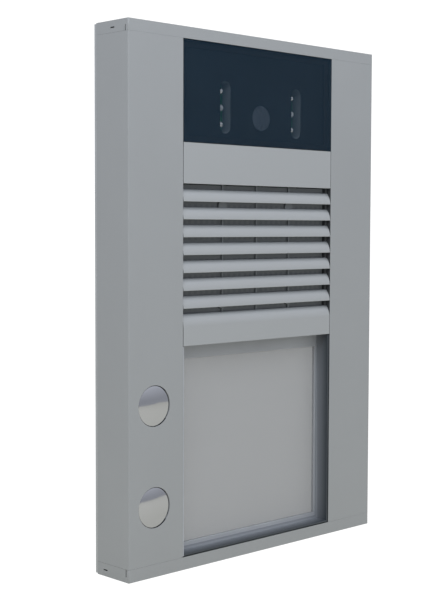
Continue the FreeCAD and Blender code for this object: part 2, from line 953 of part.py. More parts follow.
def small_screws(name, spots, seat):
    """Make a set of small pan-head screws that stand on a board's front face."""
    screws = [
        screw_y(
            f"{name}_{number}",
            spot,
            seat,
            "base_front",
            "small_screw_radius",
            "small_screw_head",
            "small_screw_head_height",
        )
        for number, spot in enumerate(spots)
    ]
    return keep(grouped(name, screws), name)


def drilled_board(name, across, deep, high, spots):
    """Make a circuit board with clearance holes for its screws."""
    blank = block(name + "_blank", across, deep, high)
    holes = [
        rod(f"{name}_hole_{number}", "y", spot, deep, "small_screw_radius + running_gap")
        for number, spot in enumerate(spots)
    ]
    return keep(cut(name, blank, holes), name)


def cable_grommet():
    """Make the rubber grommet that lines the cable hole."""
    corners = [
        ("cable_radius", "0"),
        ("grommet_radius", "0"),
        ("grommet_radius", "0 - base_thickness"),
        ("grommet_radius + grommet_lip", "0 - base_thickness"),
        ("grommet_radius + grommet_lip", "0 - base_thickness - grommet_lip_thickness"),
        ("cable_radius", "0 - base_thickness - grommet_lip_thickness"),
    ]
    body = revolved("grommet_ring", corners, "module_middle", "panel_depth", "cable_z")
    return keep(body, "cable_grommet")


# ---- Module shells ----------------------------------------------------------------------------


def walls(name, front, low, high):
    """Make the four walls of a module, from a depth back to the base plate."""
    outer = block(name + "_outer", ("module_left", "module_right"), (front, "base_front"),
                  (low, high))
    inner = block(
        name + "_inner",
        ("module_left + module_wall", "module_right - module_wall"),
        (front, "base_front"),
        (f"{low} + module_wall", f"{high} - module_wall"),
    )
    return cut(name, outer, [inner])


def posts(name, front, low, high):
    """Make the four screw posts of a module, and the pilot holes to cut from them."""
    pieces = []
    holes = []
    spots = [
        (x, z)
        for x in ("post_left", "post_right")
        for z in (f"{low} + boss_margin", f"{high} - boss_margin")
    ]
    for number, spot in enumerate(spots):
        pieces.append(
            rod(f"{name}_post_{number}", "y", spot, (front, "boss_front"), "post_radius")
        )
        holes.append(
            rod(f"{name}_pilot_{number}", "y", spot,
                ("boss_front - module_screw_grip - part_gap", "boss_front"),
                "module_screw_radius + thread_gap")
        )
    return pieces, holes


# ---- Camera module ------------------------------------------------------------------------------

LED_SIDES = (("left", "module_middle + camera_offset - led_offset"),
             ("right", "module_middle + camera_offset + led_offset"))


def camera_window():
    """Make the smoked pane."""
    pane = block("window_pane", ("module_left", "module_right"), ("0", "window_thickness"),
                 ("camera_low", "camera_high"))
    return keep(pane, "camera_window")


def window_gasket():
    """Make the foam ring between the pane and the bezel."""
    deep = ("window_thickness", "bezel_front")
    ring = block("gasket_sheet", ("module_left", "module_right"), deep,
                 ("camera_low", "camera_high"))
    hole = block(
        "gasket_hole",
        ("module_left + gasket_width", "module_right - gasket_width"),
        deep,
        ("camera_low + gasket_width", "camera_high - gasket_width"),
    )
    return keep(cut("window_gasket", ring, [hole]), "window_gasket")


def camera_bezel():
    """Make the camera module's shell with its lens hole and two lamp slots."""
    face = block("bezel_face", ("module_left", "module_right"), ("bezel_front", "bezel_back"),
                 ("camera_low", "camera_high"))
    pieces, holes = posts("camera", "bezel_front", "camera_low", "camera_high")
    deep = ("bezel_front", "bezel_back")
    holes.append(rod("lens_hole", "y", ("camera_x", "camera_z"), deep, "camera_hole_radius"))
    for side, x in LED_SIDES:
        holes.append(slot(f"{side}_lamp_slot", (x, "led_z"), deep, "led_slot_width",
                          "led_slot_height"))
    for number, x in enumerate(ear_places()):
        holes.append(
            rod(f"cradle_pilot_{number}", "y", (x, "camera_z"),
                ("bezel_front + part_gap", "bezel_back"), "small_screw_radius + thread_gap")
        )
    shell = fused("bezel_shell", [face, walls("bezel_walls", "bezel_front", "camera_low",
                                              "camera_high"), *pieces])
    return keep(cut("camera_bezel", shell, holes), "camera_bezel")


def camera_shield():
    """Make the clear disc that closes the bezel's lens hole in front of the turning camera."""
    front = "bezel_front + shield_sink"
    disc = rod("shield_disc", "y", ("camera_x", "camera_z"),
               (front, f"{front} + shield_thickness"), "camera_hole_radius - stop_gap")
    return keep(disc, "camera_shield")


def ear_places():
    """List the X of the cradle's two screw ears."""
    reach = "cradle_outer_x + ear_width / 2"
    return [f"camera_x - ({reach})", f"camera_x + ({reach})"]


def ring_block(name, half_x, half_z, deep):
    """Add a box centred on the camera's axis."""
    return block(
        name,
        (f"camera_x - ({half_x})", f"camera_x + ({half_x})"),
        deep,
        (f"camera_z - ({half_z})", f"camera_z + ({half_z})"),
    )


def camera_cradle():
    """Make the fixed square tube that carries the camera's pan pivots."""
    deep = ("bezel_back", "cradle_back")
    outer = ring_block("cradle_outer", "cradle_outer_x", "cradle_outer_z", deep)
    ears = ring_block(
        "cradle_ears",
        "cradle_outer_x + ear_width",
        "ear_width / 2",
        ("bezel_back", "bezel_back + ear_thickness"),
    )
    tools = [
        ring_block("cradle_hollow", "cradle_inner_x", "cradle_inner_z", deep),
        rod("pan_bore", "z", ("camera_x", "camera_depth"),
            ("camera_z - cradle_outer_z", "camera_z + cradle_outer_z"),
            "pan_pin_radius + running_gap"),
    ]
    for number, x in enumerate(ear_places()):
        tools.append(
            rod(f"ear_hole_{number}", "y", (x, "camera_z"),
                ("bezel_back", "bezel_back + ear_thickness"),
                "small_screw_radius + running_gap")
        )
    return keep(cut("camera_cradle", fused("cradle_whole", [outer, ears]), tools),
                "camera_cradle")


def cradle_screws():
    """Make the two screws that hold the cradle to the bezel."""
    screws = [
        screw_y(
            f"cradle_screw_{number}",
            (x, "camera_z"),
            "bezel_back + ear_thickness",
            "bezel_front + 2 * part_gap",
            "small_screw_radius",
            "small_screw_head",
            "small_screw_head_height",
            towards="wall",
        )
        for number, x in enumerate(ear_places())
    ]
    return keep(grouped("cradle_screws", screws), "cradle_screws")


def camera_yoke():
    """Make the ring that turns left and right in the cradle and carries the camera."""
    deep = ("yoke_front", "yoke_back")
    outer = ring_block("yoke_outer", "yoke_outer_x", "yoke_outer_z", deep)
    pins = [
        rod("pan_pin_low", "z", ("camera_x", "camera_depth"),
            ("camera_z - cradle_outer_z", "camera_z - yoke_inner_z"), "pan_pin_radius"),
        rod("pan_pin_high", "z", ("camera_x", "camera_depth"),
            ("camera_z + yoke_inner_z", "camera_z + cradle_outer_z"), "pan_pin_radius"),
    ]
    hollow = ring_block("yoke_hollow", "yoke_inner_x", "yoke_inner_z", deep)
    bore = rod("tilt_bore", "x", ("camera_depth", "camera_z"),
               ("camera_x - yoke_outer_x", "camera_x + yoke_outer_x"),
               "pivot_radius + running_gap")
    ring = cut("yoke_ring", outer, [hollow, bore])
    return keep(fused("camera_yoke", [ring, *pins]), "camera_yoke")


def camera_body():
    """Make the camera's housing with its two tilt pins."""
    housing = ring_block("housing", "body_width / 2", "body_width / 2",
                         ("body_front", "body_back"))
    pins = rod("tilt_pins", "x", ("camera_depth", "camera_z"),
               ("camera_x - yoke_outer_x", "camera_x + yoke_outer_x"), "pivot_radius")
    return keep(fused("camera_body", [housing, pins]), "camera_body")


def camera_lens():
    """Make the lens barrel and its glass."""
    at = ("camera_x", "camera_z")
    tube = rod("barrel_tube", "y", at, ("barrel_front", "body_front"), "barrel_radius")
    mouth = rod("barrel_mouth", "y", at, ("barrel_front", "barrel_front + glass_depth"),
                "glass_radius")
    keep(cut("camera_lens_barrel", tube, [mouth]), "camera_lens_barrel")
    glass_back = "barrel_front + glass_depth"
    disc = rod("glass_disc", "y", at, ("barrel_front", glass_back), "glass_radius")
    curve = ball(
        "glass_curve",
        ("camera_x", "barrel_front + part_gap + 2 * glass_radius", "camera_z"),
        "2 * glass_radius",
    )
    lens = doc.addObject("Part::Common", "lens_common")
    lens.Base = disc
    lens.Tool = curve
    keep(lens, "camera_lens_glass")


def camera_sensor_board():
    """Make the sensor's board on the back of the camera."""
    board = ring_block("sensor_blank", "sensor_width / 2", "sensor_width / 2",
                       ("body_back", "body_back + sensor_thickness"))
    return keep(board, "camera_sensor_board")


def lamp_sets():
    """Make each side's shade, lamps and board."""
    for side, x in LED_SIDES:
        shade_deep = ("bezel_back", "led_board_front")
        outer = slot(f"{side}_shade_outer", (x, "led_z"), shade_deep,
                     "led_slot_width + 2 * led_shade_wall",
                     "led_slot_height + 2 * led_shade_wall")
        inner = slot(f"{side}_shade_inner", (x, "led_z"), shade_deep, "led_slot_width",
                     "led_slot_height")
        keep(cut(f"{side}_lamp_shade", outer, [inner]), f"{side}_lamp_shade")
        board = block(
            f"{side}_lamp_board",
            (f"{x} - led_board_width / 2", f"{x} + led_board_width / 2"),
            ("led_board_front", "led_board_front + board_thickness"),
            ("led_z - led_board_height / 2", "led_z + led_board_height / 2"),
        )
        keep(board, f"{side}_lamp_board")
        lamps = []
        for number in (-1, 0, 1):
            z = f"led_z + ({number}) * led_pitch"
            name = f"{side}_lamp_{number + 1}"
            shoulder = "led_board_front - led_height + led_radius"
            stem = rod(name + "_stem", "y", (x, z), (shoulder, "led_board_front"), "led_radius")
            lamps.append(fused(name, [stem, ball(name + "_dome", (x, shoulder, z),
                                                 "led_radius")]))
        keep(grouped(f"{side}_lamps", lamps), f"{side}_lamps")


# ---- Speaker module -------------------------------------------------------------------------------


RIB_PLACES = ("module_middle - speaker_post", "module_middle", "module_middle + speaker_post")


def speaker_post_spots():
    """List the four screw places around the speaker."""
    return [
        (f"module_middle {across} speaker_post", f"speaker_z {up} speaker_post")
        for across in "-+"
        for up in "-+"
    ]


def grille_band(body, name, low, high):
    """Raise a flat band across the plate, as the slats' top or bottom border."""
    band = sketch_on(body, name, "YZ_Plane", "module_left")
    rectangle(band, (at_depth("0"), at_depth("band_back")), (low, high))
    pad(body, name + "_raised", band, "module_right - module_left")


def speaker_grille():
    """Make the louvred plate with its walls, ribs and posts as one moulding."""
    body = new_body("grille_louvres")
    grille_band(body, "upper_band", "louvre_top", "grille_top")
    ribs = sketch_on(body, "ribs", "XZ_Plane", "panel_depth - rib_back")
    for x in RIB_PLACES:
        rectangle(ribs, (f"{x} - rib_width / 2", f"{x} + rib_width / 2"),
                  ("grille_bottom", "grille_top"))
    pad(body, "ribs_raised", ribs, "rib_back - rib_front")
    grille_band(body, "lower_band", "grille_bottom", "louvre_bottom")
    slat = sketch_on(body, "slat_section", "YZ_Plane", "module_left")
    face_top = "louvre_top - slot_height"
    lip = "louvre_top - louvre_pitch"
    polygon(
        slat,
        [
            (at_depth("grille_thickness"), face_top),
            (at_depth("0"), lip),
            (at_depth("slat_thickness"), lip),
            (at_depth("band_back"), face_top),
        ],
        arcs={0: "slat_curve"},
    )
    first = pad(body, "slat", slat, "module_right - module_left")
    pattern = body.newObject("PartDesign::LinearPattern", "slats")
    pattern.Originals = [first]
    pattern.Direction = (slat, ["V_Axis"])
    pattern.Reversed = True
    bind(pattern, Length="louvre_pitch * (louvre_count - 1)", Occurrences="louvre_count")
    body.Tip = pattern
    doc.recompute()

    pieces, holes = posts("grille", "rib_front", "grille_bottom", "grille_top")
    for number, spot in enumerate(speaker_post_spots()):
        pieces.append(
            rod(f"speaker_post_{number}", "y", spot, ("rib_front", "flange_back"),
                "speaker_post_radius")
        )
        holes.append(
            rod(f"speaker_pilot_{number}", "y", spot, ("rib_back", "flange_back"),
                "small_screw_radius + thread_gap")
        )
    shell = fused("grille_shell", [body, walls("grille_walls", "grille_thickness",
                                               "grille_bottom", "grille_top"), *pieces])
    return keep(cut("speaker_grille", shell, holes), "speaker_grille")


def dust_mesh():
    """Make the black mesh sheet behind the louvres."""
    deep = ("rib_back", "mesh_back")
    sheet_block = block(
        "mesh_sheet",
        ("module_left + module_wall + seam_gap", "module_right - module_wall - seam_gap"),
        deep,
        ("louvre_bottom + part_gap", "louvre_top - part_gap"),
    )
    holes = [
        rod(f"mesh_hole_{number}", "y", spot, deep, "speaker_post_radius + part_gap")
        for number, spot in enumerate(speaker_post_spots())
    ]
    holes += [
        rod(f"mesh_corner_{number}", "y", (x, "grille_bottom + boss_margin"), deep,
            "post_radius + part_gap")
        for number, x in enumerate(("post_left", "post_right"))
    ]
    return keep(cut("dust_mesh", sheet_block, holes), "dust_mesh")


def speaker():
    """Make the speaker's gasket, basket, cone, magnet and screws."""
    middle = ("module_middle", "speaker_z")
    place_at = ("module_middle", "0", "speaker_z")
    gasket = [
        ("speaker_radius - speaker_rim", "mesh_back"),
        ("speaker_radius", "mesh_back"),
        ("speaker_radius", "flange_front"),
        ("speaker_radius - speaker_rim", "flange_front"),
    ]
    keep(revolved("gasket_ring", gasket, *place_at), "speaker_gasket")

    inner = "speaker_radius - speaker_rim"
    ledge = f"{inner} - cone_ledge"
    seat = "flange_front + cone_thickness"
    throat = "magnet_radius + basket_wall"
    basket = [
        (inner, "flange_front"),
        ("speaker_radius", "flange_front"),
        ("speaker_radius", "flange_back"),
        (f"{inner} + basket_wall", "flange_back"),
        (throat, "basket_back"),
        ("dome_radius", "basket_back"),
        ("dome_radius", "basket_back - basket_wall"),
        ("magnet_radius", "basket_back - basket_wall"),
        (ledge, "flange_back"),
        (ledge, seat),
        (inner, seat),
    ]
    keep(revolved("basket", basket, *place_at), "speaker_basket")

    rim = f"{inner} - part_gap"
    cone_back = "flange_front + cone_depth"
    cone = [
        ("0", f"{cone_back} - 1.5 * cone_thickness"),
        ("dome_radius", f"{cone_back} - cone_thickness"),
        (f"{ledge} - cone_ledge", "flange_front"),
        (rim, "flange_front"),
        (rim, seat),
        (f"{ledge} - cone_ledge", seat),
        ("dome_radius", cone_back),
        ("0", cone_back),
    ]
    keep(revolved("cone", cone, *place_at), "speaker_cone")

    magnet = rod("magnet_disc", "y", middle, ("basket_back", "magnet_back"), "magnet_radius")
    keep(magnet, "speaker_magnet")

    screws = [
        screw_y(f"speaker_screw_{number}", spot, "flange_back", "rib_back + part_gap",
                "small_screw_radius", "speaker_screw_head", "small_screw_head_height",
                towards="wall")
        for number, spot in enumerate(speaker_post_spots())
    ]
    keep(grouped("speaker_screws", screws), "speaker_screws")


def microphone():
    """Make the microphone and the rubber boot that seals it to the grille."""
    at = ("mic_x", "mic_z")
    outer = "mic_radius + mic_boot_wall"
    boot = [
        ("mic_radius", "0"),
        (outer, "0"),
        (outer, "mic_height + mic_boot_floor"),
        ("mic_radius / 2", "mic_height + mic_boot_floor"),
        ("mic_radius / 2", "mic_height"),
        ("mic_radius", "mic_height"),
    ]
    keep(revolved("boot", boot, at[0], "mesh_back", at[1]), "microphone_boot")
    capsule = rod("capsule", "y", at, ("mesh_back", "mesh_back + mic_height"),
                  "mic_radius - stop_gap")
    keep(capsule, "microphone_capsule")


def main_board():
    """Make the main board, its parts, the terminal block and all their screws."""
    drilled_board(
        "main_board",
        ("main_board_left", "main_board_right"),
        ("main_board_front", "main_board_back"),
        ("main_board_low", "main_board_high"),
        board_spots(),
    )
    small_screws("board_screws", board_spots(), "main_board_front")

    square = ("chip_size", "chip_size", "chip_height")
    chips = [
        ("processor", "main_board_right - chip_inset", "main_board_high - chip_inset", square),
        ("amplifier", "main_board_left + chip_inset", "main_board_high - chip_inset", square),
        ("decoder", "module_middle", "main_board_high - chip_inset", square),
        ("relay", "main_board_left + capacitor_inset", "main_board_low + relay_rise",
         ("relay_width", "relay_length", "relay_height")),
    ]
    parts = [
        block(
            name,
            (f"{x} - {width} / 2", f"{x} + {width} / 2"),
            (f"main_board_front - {height}", "main_board_front"),
            (f"{z} - {length} / 2", f"{z} + {length} / 2"),
        )
        for name, x, z, (width, length, height) in chips
    ]
    for side, inward in (("left", "+"), ("right", "-")):
        at = (f"main_board_{side} {inward} capacitor_inset", "main_board_low + capacitor_inset")
        parts.append(
            rod(f"{side}_capacitor", "y", at,
                ("main_board_front - capacitor_height", "main_board_front"),
                "capacitor_radius")
        )
    keep(grouped("main_board_parts", parts), "main_board_parts")

    terminal_high = "main_board_low + terminal_height + terminal_inset"
    across = ("module_middle - terminal_length / 2", "module_middle + terminal_length / 2")
    high = (f"{terminal_high} - terminal_height", terminal_high)
    blank = block("terminal_blank", across, ("terminal_front", "main_board_front"), high)
    count = int(SIZES["terminal_count"])
    spots = [
        (f"module_middle - terminal_length / 2 + ({number} + 0.5) * terminal_pitch",
         f"{terminal_high} - terminal_height / 2")
        for number in range(count)
    ]
    sinks = [
        rod(f"terminal_sink_{number}", "y", spot,
            ("terminal_front", "terminal_front + 2 * terminal_screw_height"),
            "terminal_screw_radius + running_gap")
        for number, spot in enumerate(spots)
    ]
    wires = [
        rod(f"wire_hole_{number}", "z",
            (spot[0], "terminal_front + terminal_depth * 0.7"),
            (f"{terminal_high} - terminal_height", f"{terminal_high} - terminal_height / 3"),
            "terminal_screw_radius * 0.8")
        for number, spot in enumerate(spots)
    ]
    keep(cut("terminal_block", blank, sinks + wires), "terminal_block")
    screws = [
        rod(f"terminal_screw_{number}", "y", spot,
            ("terminal_front + terminal_screw_height",
             "terminal_front + 2 * terminal_screw_height"),
            "terminal_screw_radius")
        for number, spot in enumerate(spots)
    ]
    keep(grouped("terminal_screws", screws), "terminal_screws")


# ---- Name-plate module ------------------------------------------------------------------------------


def nameplate_frame():
    """Make the name plate's frame, a shell with a three-sided collar, a window and four posts."""
    face = block("name_face", ("module_left", "module_right"), ("name_recess", "name_back"),
                 ("name_low", "name_high"))
    pieces, holes = posts("name", "backlight_back", "name_low", "name_high")
    holes.append(
        block("name_window", ("card_left", "card_right"), ("name_recess", "name_back"),
              ("card_low", "card_high"))
    )
    collar_deep = ("name_collar_front", "name_recess")
    collar = block("name_collar_outer", ("module_left", "module_right"), collar_deep,
                   ("name_low", "name_high"))
    hollow = block(
        "name_collar_inner",
        ("module_left + name_collar_wall", "module_right - name_collar_wall"),
        collar_deep,
        ("name_low + name_collar_wall", "name_high"),
    )
    shell = fused(
        "name_shell",
        [
            face,
            walls("name_walls", "name_recess", "name_low", "name_high"),
            cut("name_collar", collar, [hollow]),
            *pieces,
        ],
    )
    return keep(cut("nameplate_frame", shell, holes), "nameplate_frame")


def name_layers():
    """Make the clear cover, the card, the diffuser and the backlight behind them."""
    across = ("card_left + stop_gap", "card_right - stop_gap")
    high = ("card_low + stop_gap", "card_high - stop_gap")
    keep(block("cover_sheet", across, ("cover_front", "cover_back"), high), "nameplate_cover")
    keep(block("card_sheet", across, ("cover_back", "cover_back + card_thickness"), high),
         "nameplate_card")
    inside = ("module_left + module_wall + seam_gap", "module_right - module_wall - seam_gap")
    inside_high = ("name_low + module_wall + seam_gap", "name_high - module_wall - seam_gap")
    keep(block("diffuser_sheet", inside, ("name_back", "diffuser_back"), inside_high),
         "nameplate_diffuser")
    keep(block("backlight_sheet", inside, ("backlight_front", "backlight_back"), inside_high),
         "backlight_board")
    lamps = []
    for column in range(int(SIZES["backlight_columns"])):
        for line in range(int(SIZES["backlight_rows"])):
            x = (f"module_left + ({column} + 0.5) * (module_right - module_left)"
                 " / backlight_columns")
            z = f"name_low + ({line} + 0.5) * (name_high - name_low) / backlight_rows"
            lamps.append(
                block(
                    f"backlight_led_{column}_{line}",
                    (f"{x} - backlight_led_size / 2", f"{x} + backlight_led_size / 2"),
                    ("backlight_front - backlight_led_height", "backlight_front"),
                    (f"{z} - backlight_led_size / 2", f"{z} + backlight_led_size / 2"),
                )
            )
    keep(grouped("backlight_leds", lamps), "backlight_leds")


# ---- Call buttons --------------------------------------------------------------------------------------


def call_button(level):
    """Make one call button: domed cap, retaining flange and stem."""
    corners = [
        ("0", "crown_front"),
        ("button_radius", "button_edge_sink"),
        ("button_radius", "button_flange_front"),
        ("flange_radius", "button_flange_front"),
        ("flange_radius", "button_flange_back"),
        ("stem_radius", "button_flange_back"),
        ("stem_radius", "stem_end"),
        ("0", "stem_end"),
    ]
    body = revolved(f"{level}_button", corners, "button_x", "0", f"{level}_button_z",
                    arcs={0: "dome_ball"})
    return keep(body, f"call_button_{level}")


def button_guide(level):
    """Make the cup that guides one button's stem and carries its spring."""
    corners = [
        ("guide_bore", "profile_wall"),
        ("guide_radius", "profile_wall"),
        ("guide_radius", "button_board_depth"),
        ("guide_bore", "button_board_depth"),
        ("guide_bore", "guide_back"),
        ("stem_radius + running_gap", "guide_back"),
        ("stem_radius + running_gap", "guide_floor"),
        ("guide_bore", "guide_floor"),
    ]
    body = revolved(f"{level}_guide", corners, "button_x", "0", f"{level}_button_z")
    return keep(body, f"button_guide_{level}")


def button_spring(level):
    """Make one return spring as a round wire wound on a helix."""
    wire = value("spring_wire")
    radius = value("spring_radius")
    start = value("button_flange_back") + wire + value("stop_gap")
    height = value("guide_floor") - wire - value("stop_gap") - start
    helix = Part.makeHelix(height / value("spring_turns"), height, radius)
    ring = Part.Wire(
        [Part.makeCircle(wire, FreeCAD.Vector(radius, 0, 0), FreeCAD.Vector(0, 1, 0))]
    )
    spring = doc.addObject("Part::Feature", f"{level}_spring")
    spring.Shape = Part.Wire(helix.Edges).makePipeShell([ring], True, True)
    spring.Placement = FreeCAD.Placement(FreeCAD.Vector(), ALONG["y"])
    place(spring, "button_x", "button_flange_back + spring_wire + stop_gap",
          f"{level}_button_z")
    return keep(spring, f"button_spring_{level}")


def button_switches():
    """Make the two switches and the board that carries them."""
    switches = []
    for level in ("upper", "lower"):
        at = ("button_x", f"{level}_button_z")
        case = block(
            f"{level}_switch_case",
            ("button_x - switch_size / 2", "button_x + switch_size / 2"),
            ("switch_front", "button_board_depth"),
            (f"{level}_button_z - switch_size / 2", f"{level}_button_z + switch_size / 2"),
        )
        plunger = rod(f"{level}_plunger", "y", at, ("switch_front - plunger_height",
                                                    "switch_front"), "plunger_radius")
        switches.append(fused(f"{level}_switch", [case, plunger]))
    keep(grouped("button_switches", switches), "button_switches")
    drilled_board(
        "button_board",
        ("button_board_left", "button_board_right"),
        ("button_board_depth", "button_board_back"),
        ("button_board_low", "button_board_high"),
        button_board_spots(),
    )
    small_screws("button_board_screws", button_board_spots(), "button_board_depth")


# ---- The whole panel --------------------------------------------------------------------------------------


def build():
    """Make every sub-part of the panel."""
    for side in ("left", "right"):
        profile(side)
    for end in ("top", "bottom"):
        end_cap(end)
    cap_screws()
    locking_screw()
    base_plate()
    module_screws()
    cable_grommet()
    camera_window()
    window_gasket()
    camera_bezel()
    camera_shield()
    camera_cradle()
    cradle_screws()
    camera_yoke()
    camera_body()
    camera_lens()
    camera_sensor_board()
    lamp_sets()
    speaker_grille()
    dust_mesh()
    speaker()
    microphone()
    main_board()
    nameplate_frame()
    name_layers()
    for level in ("upper", "lower"):
        call_button(level)
        button_guide(level)
        button_spring(level)
    button_switches()
    doc.recompute()


def check():
    """Refuse any object that failed to compute and any sub-part with a bad shape."""
    for thing in doc.Objects:
        if "Invalid" in thing.State or "Error" in thing.State:
            raise RuntimeError(f"{thing.Name} failed: {thing.State}")
    for node in nodes:
        if node.Shape.isNull() or not node.Shape.isValid() or not node.Shape.Solids:
            raise RuntimeError(f"{node.Label} has a bad shape")


def export():
    """Write each sub-part to a STEP file named by its label."""
    os.makedirs("parts", exist_ok=True)
    for node in nodes:
        node.Shape.exportStep(f"parts/{node.Label}.step")
        print(f"{node.Label}: {len(node.Shape.Solids)} solids, {node.Shape.Volume:.0f} mm3")


build()
check()
export()
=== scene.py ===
import logging
import math
from collections.abc import Callable, Iterator, Sequence
from contextlib import contextmanager
from dataclasses import dataclass
from enum import Enum

import bmesh
import bpy
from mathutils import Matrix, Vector


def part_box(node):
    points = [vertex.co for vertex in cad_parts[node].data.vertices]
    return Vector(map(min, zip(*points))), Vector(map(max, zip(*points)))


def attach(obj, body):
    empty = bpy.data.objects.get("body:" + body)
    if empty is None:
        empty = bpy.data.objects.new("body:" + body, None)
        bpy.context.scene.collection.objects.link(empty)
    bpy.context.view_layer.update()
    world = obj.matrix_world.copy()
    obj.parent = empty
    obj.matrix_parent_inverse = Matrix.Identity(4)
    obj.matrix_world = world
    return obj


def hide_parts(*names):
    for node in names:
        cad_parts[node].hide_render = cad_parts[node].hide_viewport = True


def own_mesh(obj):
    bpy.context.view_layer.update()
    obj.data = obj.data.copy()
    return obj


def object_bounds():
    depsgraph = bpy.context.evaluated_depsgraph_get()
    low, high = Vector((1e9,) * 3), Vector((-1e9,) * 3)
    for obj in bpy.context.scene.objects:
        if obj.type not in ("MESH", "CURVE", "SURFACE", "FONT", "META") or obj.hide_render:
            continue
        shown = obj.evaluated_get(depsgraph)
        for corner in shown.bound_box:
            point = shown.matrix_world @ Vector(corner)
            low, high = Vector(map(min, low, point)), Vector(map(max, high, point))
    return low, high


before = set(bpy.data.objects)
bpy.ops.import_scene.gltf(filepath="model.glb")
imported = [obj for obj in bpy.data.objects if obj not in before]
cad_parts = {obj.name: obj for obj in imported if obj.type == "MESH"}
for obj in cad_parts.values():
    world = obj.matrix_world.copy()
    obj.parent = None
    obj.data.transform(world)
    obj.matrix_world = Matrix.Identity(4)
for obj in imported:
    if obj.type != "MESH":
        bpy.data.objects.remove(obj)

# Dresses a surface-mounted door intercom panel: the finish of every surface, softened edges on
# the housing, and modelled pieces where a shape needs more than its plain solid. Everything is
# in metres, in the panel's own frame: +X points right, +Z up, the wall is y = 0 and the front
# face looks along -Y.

LOG = logging.getLogger("intercom_panel")
CAD_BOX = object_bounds()
MM = 0.001
WELD = MM / 500
NEAR = MM / 100
WAVES_PER_SCALE = 20
FRONT_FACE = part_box("camera_window")[0][1]

Piece = bpy.types.Object
Socket = bpy.types.NodeSocket
Outline = list[tuple[float, float]]
Place = Callable[[Vector, Vector], bool]


# ---- Places taken from the frame ----


@dataclass(frozen=True)
class Span:
    """A box in the panel's frame, from its lowest to its highest corner."""

    low: Vector
    high: Vector

    @property
    def middle(self) -> Vector:
        """The centre of the box."""
        return (self.low + self.high) / 2

    @property
    def front(self) -> Vector:
        """The middle of the side that looks along -Y."""
        return Vector((self.middle.x, self.low.y, self.middle.z))

    @property
    def size(self) -> Vector:
        """The lengths of the box's sides."""
        return self.high - self.low


def span_of(node: str) -> Span:
    """Find the box of one solid node at rest."""
    low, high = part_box(node)
    return Span(Vector(low), Vector(high))


def spans_of_solids(node: str) -> list[Span]:
    """Find the boxes of the separate solids that share one node, such as a set of screws.

    Args:
        node: The node's name.

    Returns:
        One box for each solid, sorted by height and then from left to right.
    """
    mesh = bmesh.new()
    mesh.from_mesh(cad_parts[node].data)
    bmesh.ops.remove_doubles(mesh, verts=mesh.verts, dist=WELD)
    waiting = set(mesh.verts)
    spans = []
    while waiting:
        edge_of_island = [waiting.pop()]
        island = []
        while edge_of_island:
            vertex = edge_of_island.pop()
            island.append(vertex.co.copy())
            for edge in vertex.link_edges:
                other = edge.other_vert(vertex)
                if other in waiting:
                    waiting.remove(other)
                    edge_of_island.append(other)
        low = Vector([min(point[axis] for point in island) for axis in range(3)])
        high = Vector([max(point[axis] for point in island) for axis in range(3)])
        spans.append(Span(low, high))
    mesh.free()
    return sorted(spans, key=lambda span: (round(span.middle.z, 4), round(span.middle.x, 4)))


# ---- The bench: modelling by operators ----


class Axis(Enum):
    """The way that a turned piece's axis runs, from its front or foot onwards."""

    INTO_WALL = Vector((0, 1, 0))
    OUT_OF_WALL = Vector((0, -1, 0))
    UP = Vector((0, 0, 1))
    DOWN = Vector((0, 0, -1))


ACROSS = Vector((1, 0, 0))  # The way that radii are drawn, square to every axis.
WHITE = (1, 1, 1, 1)


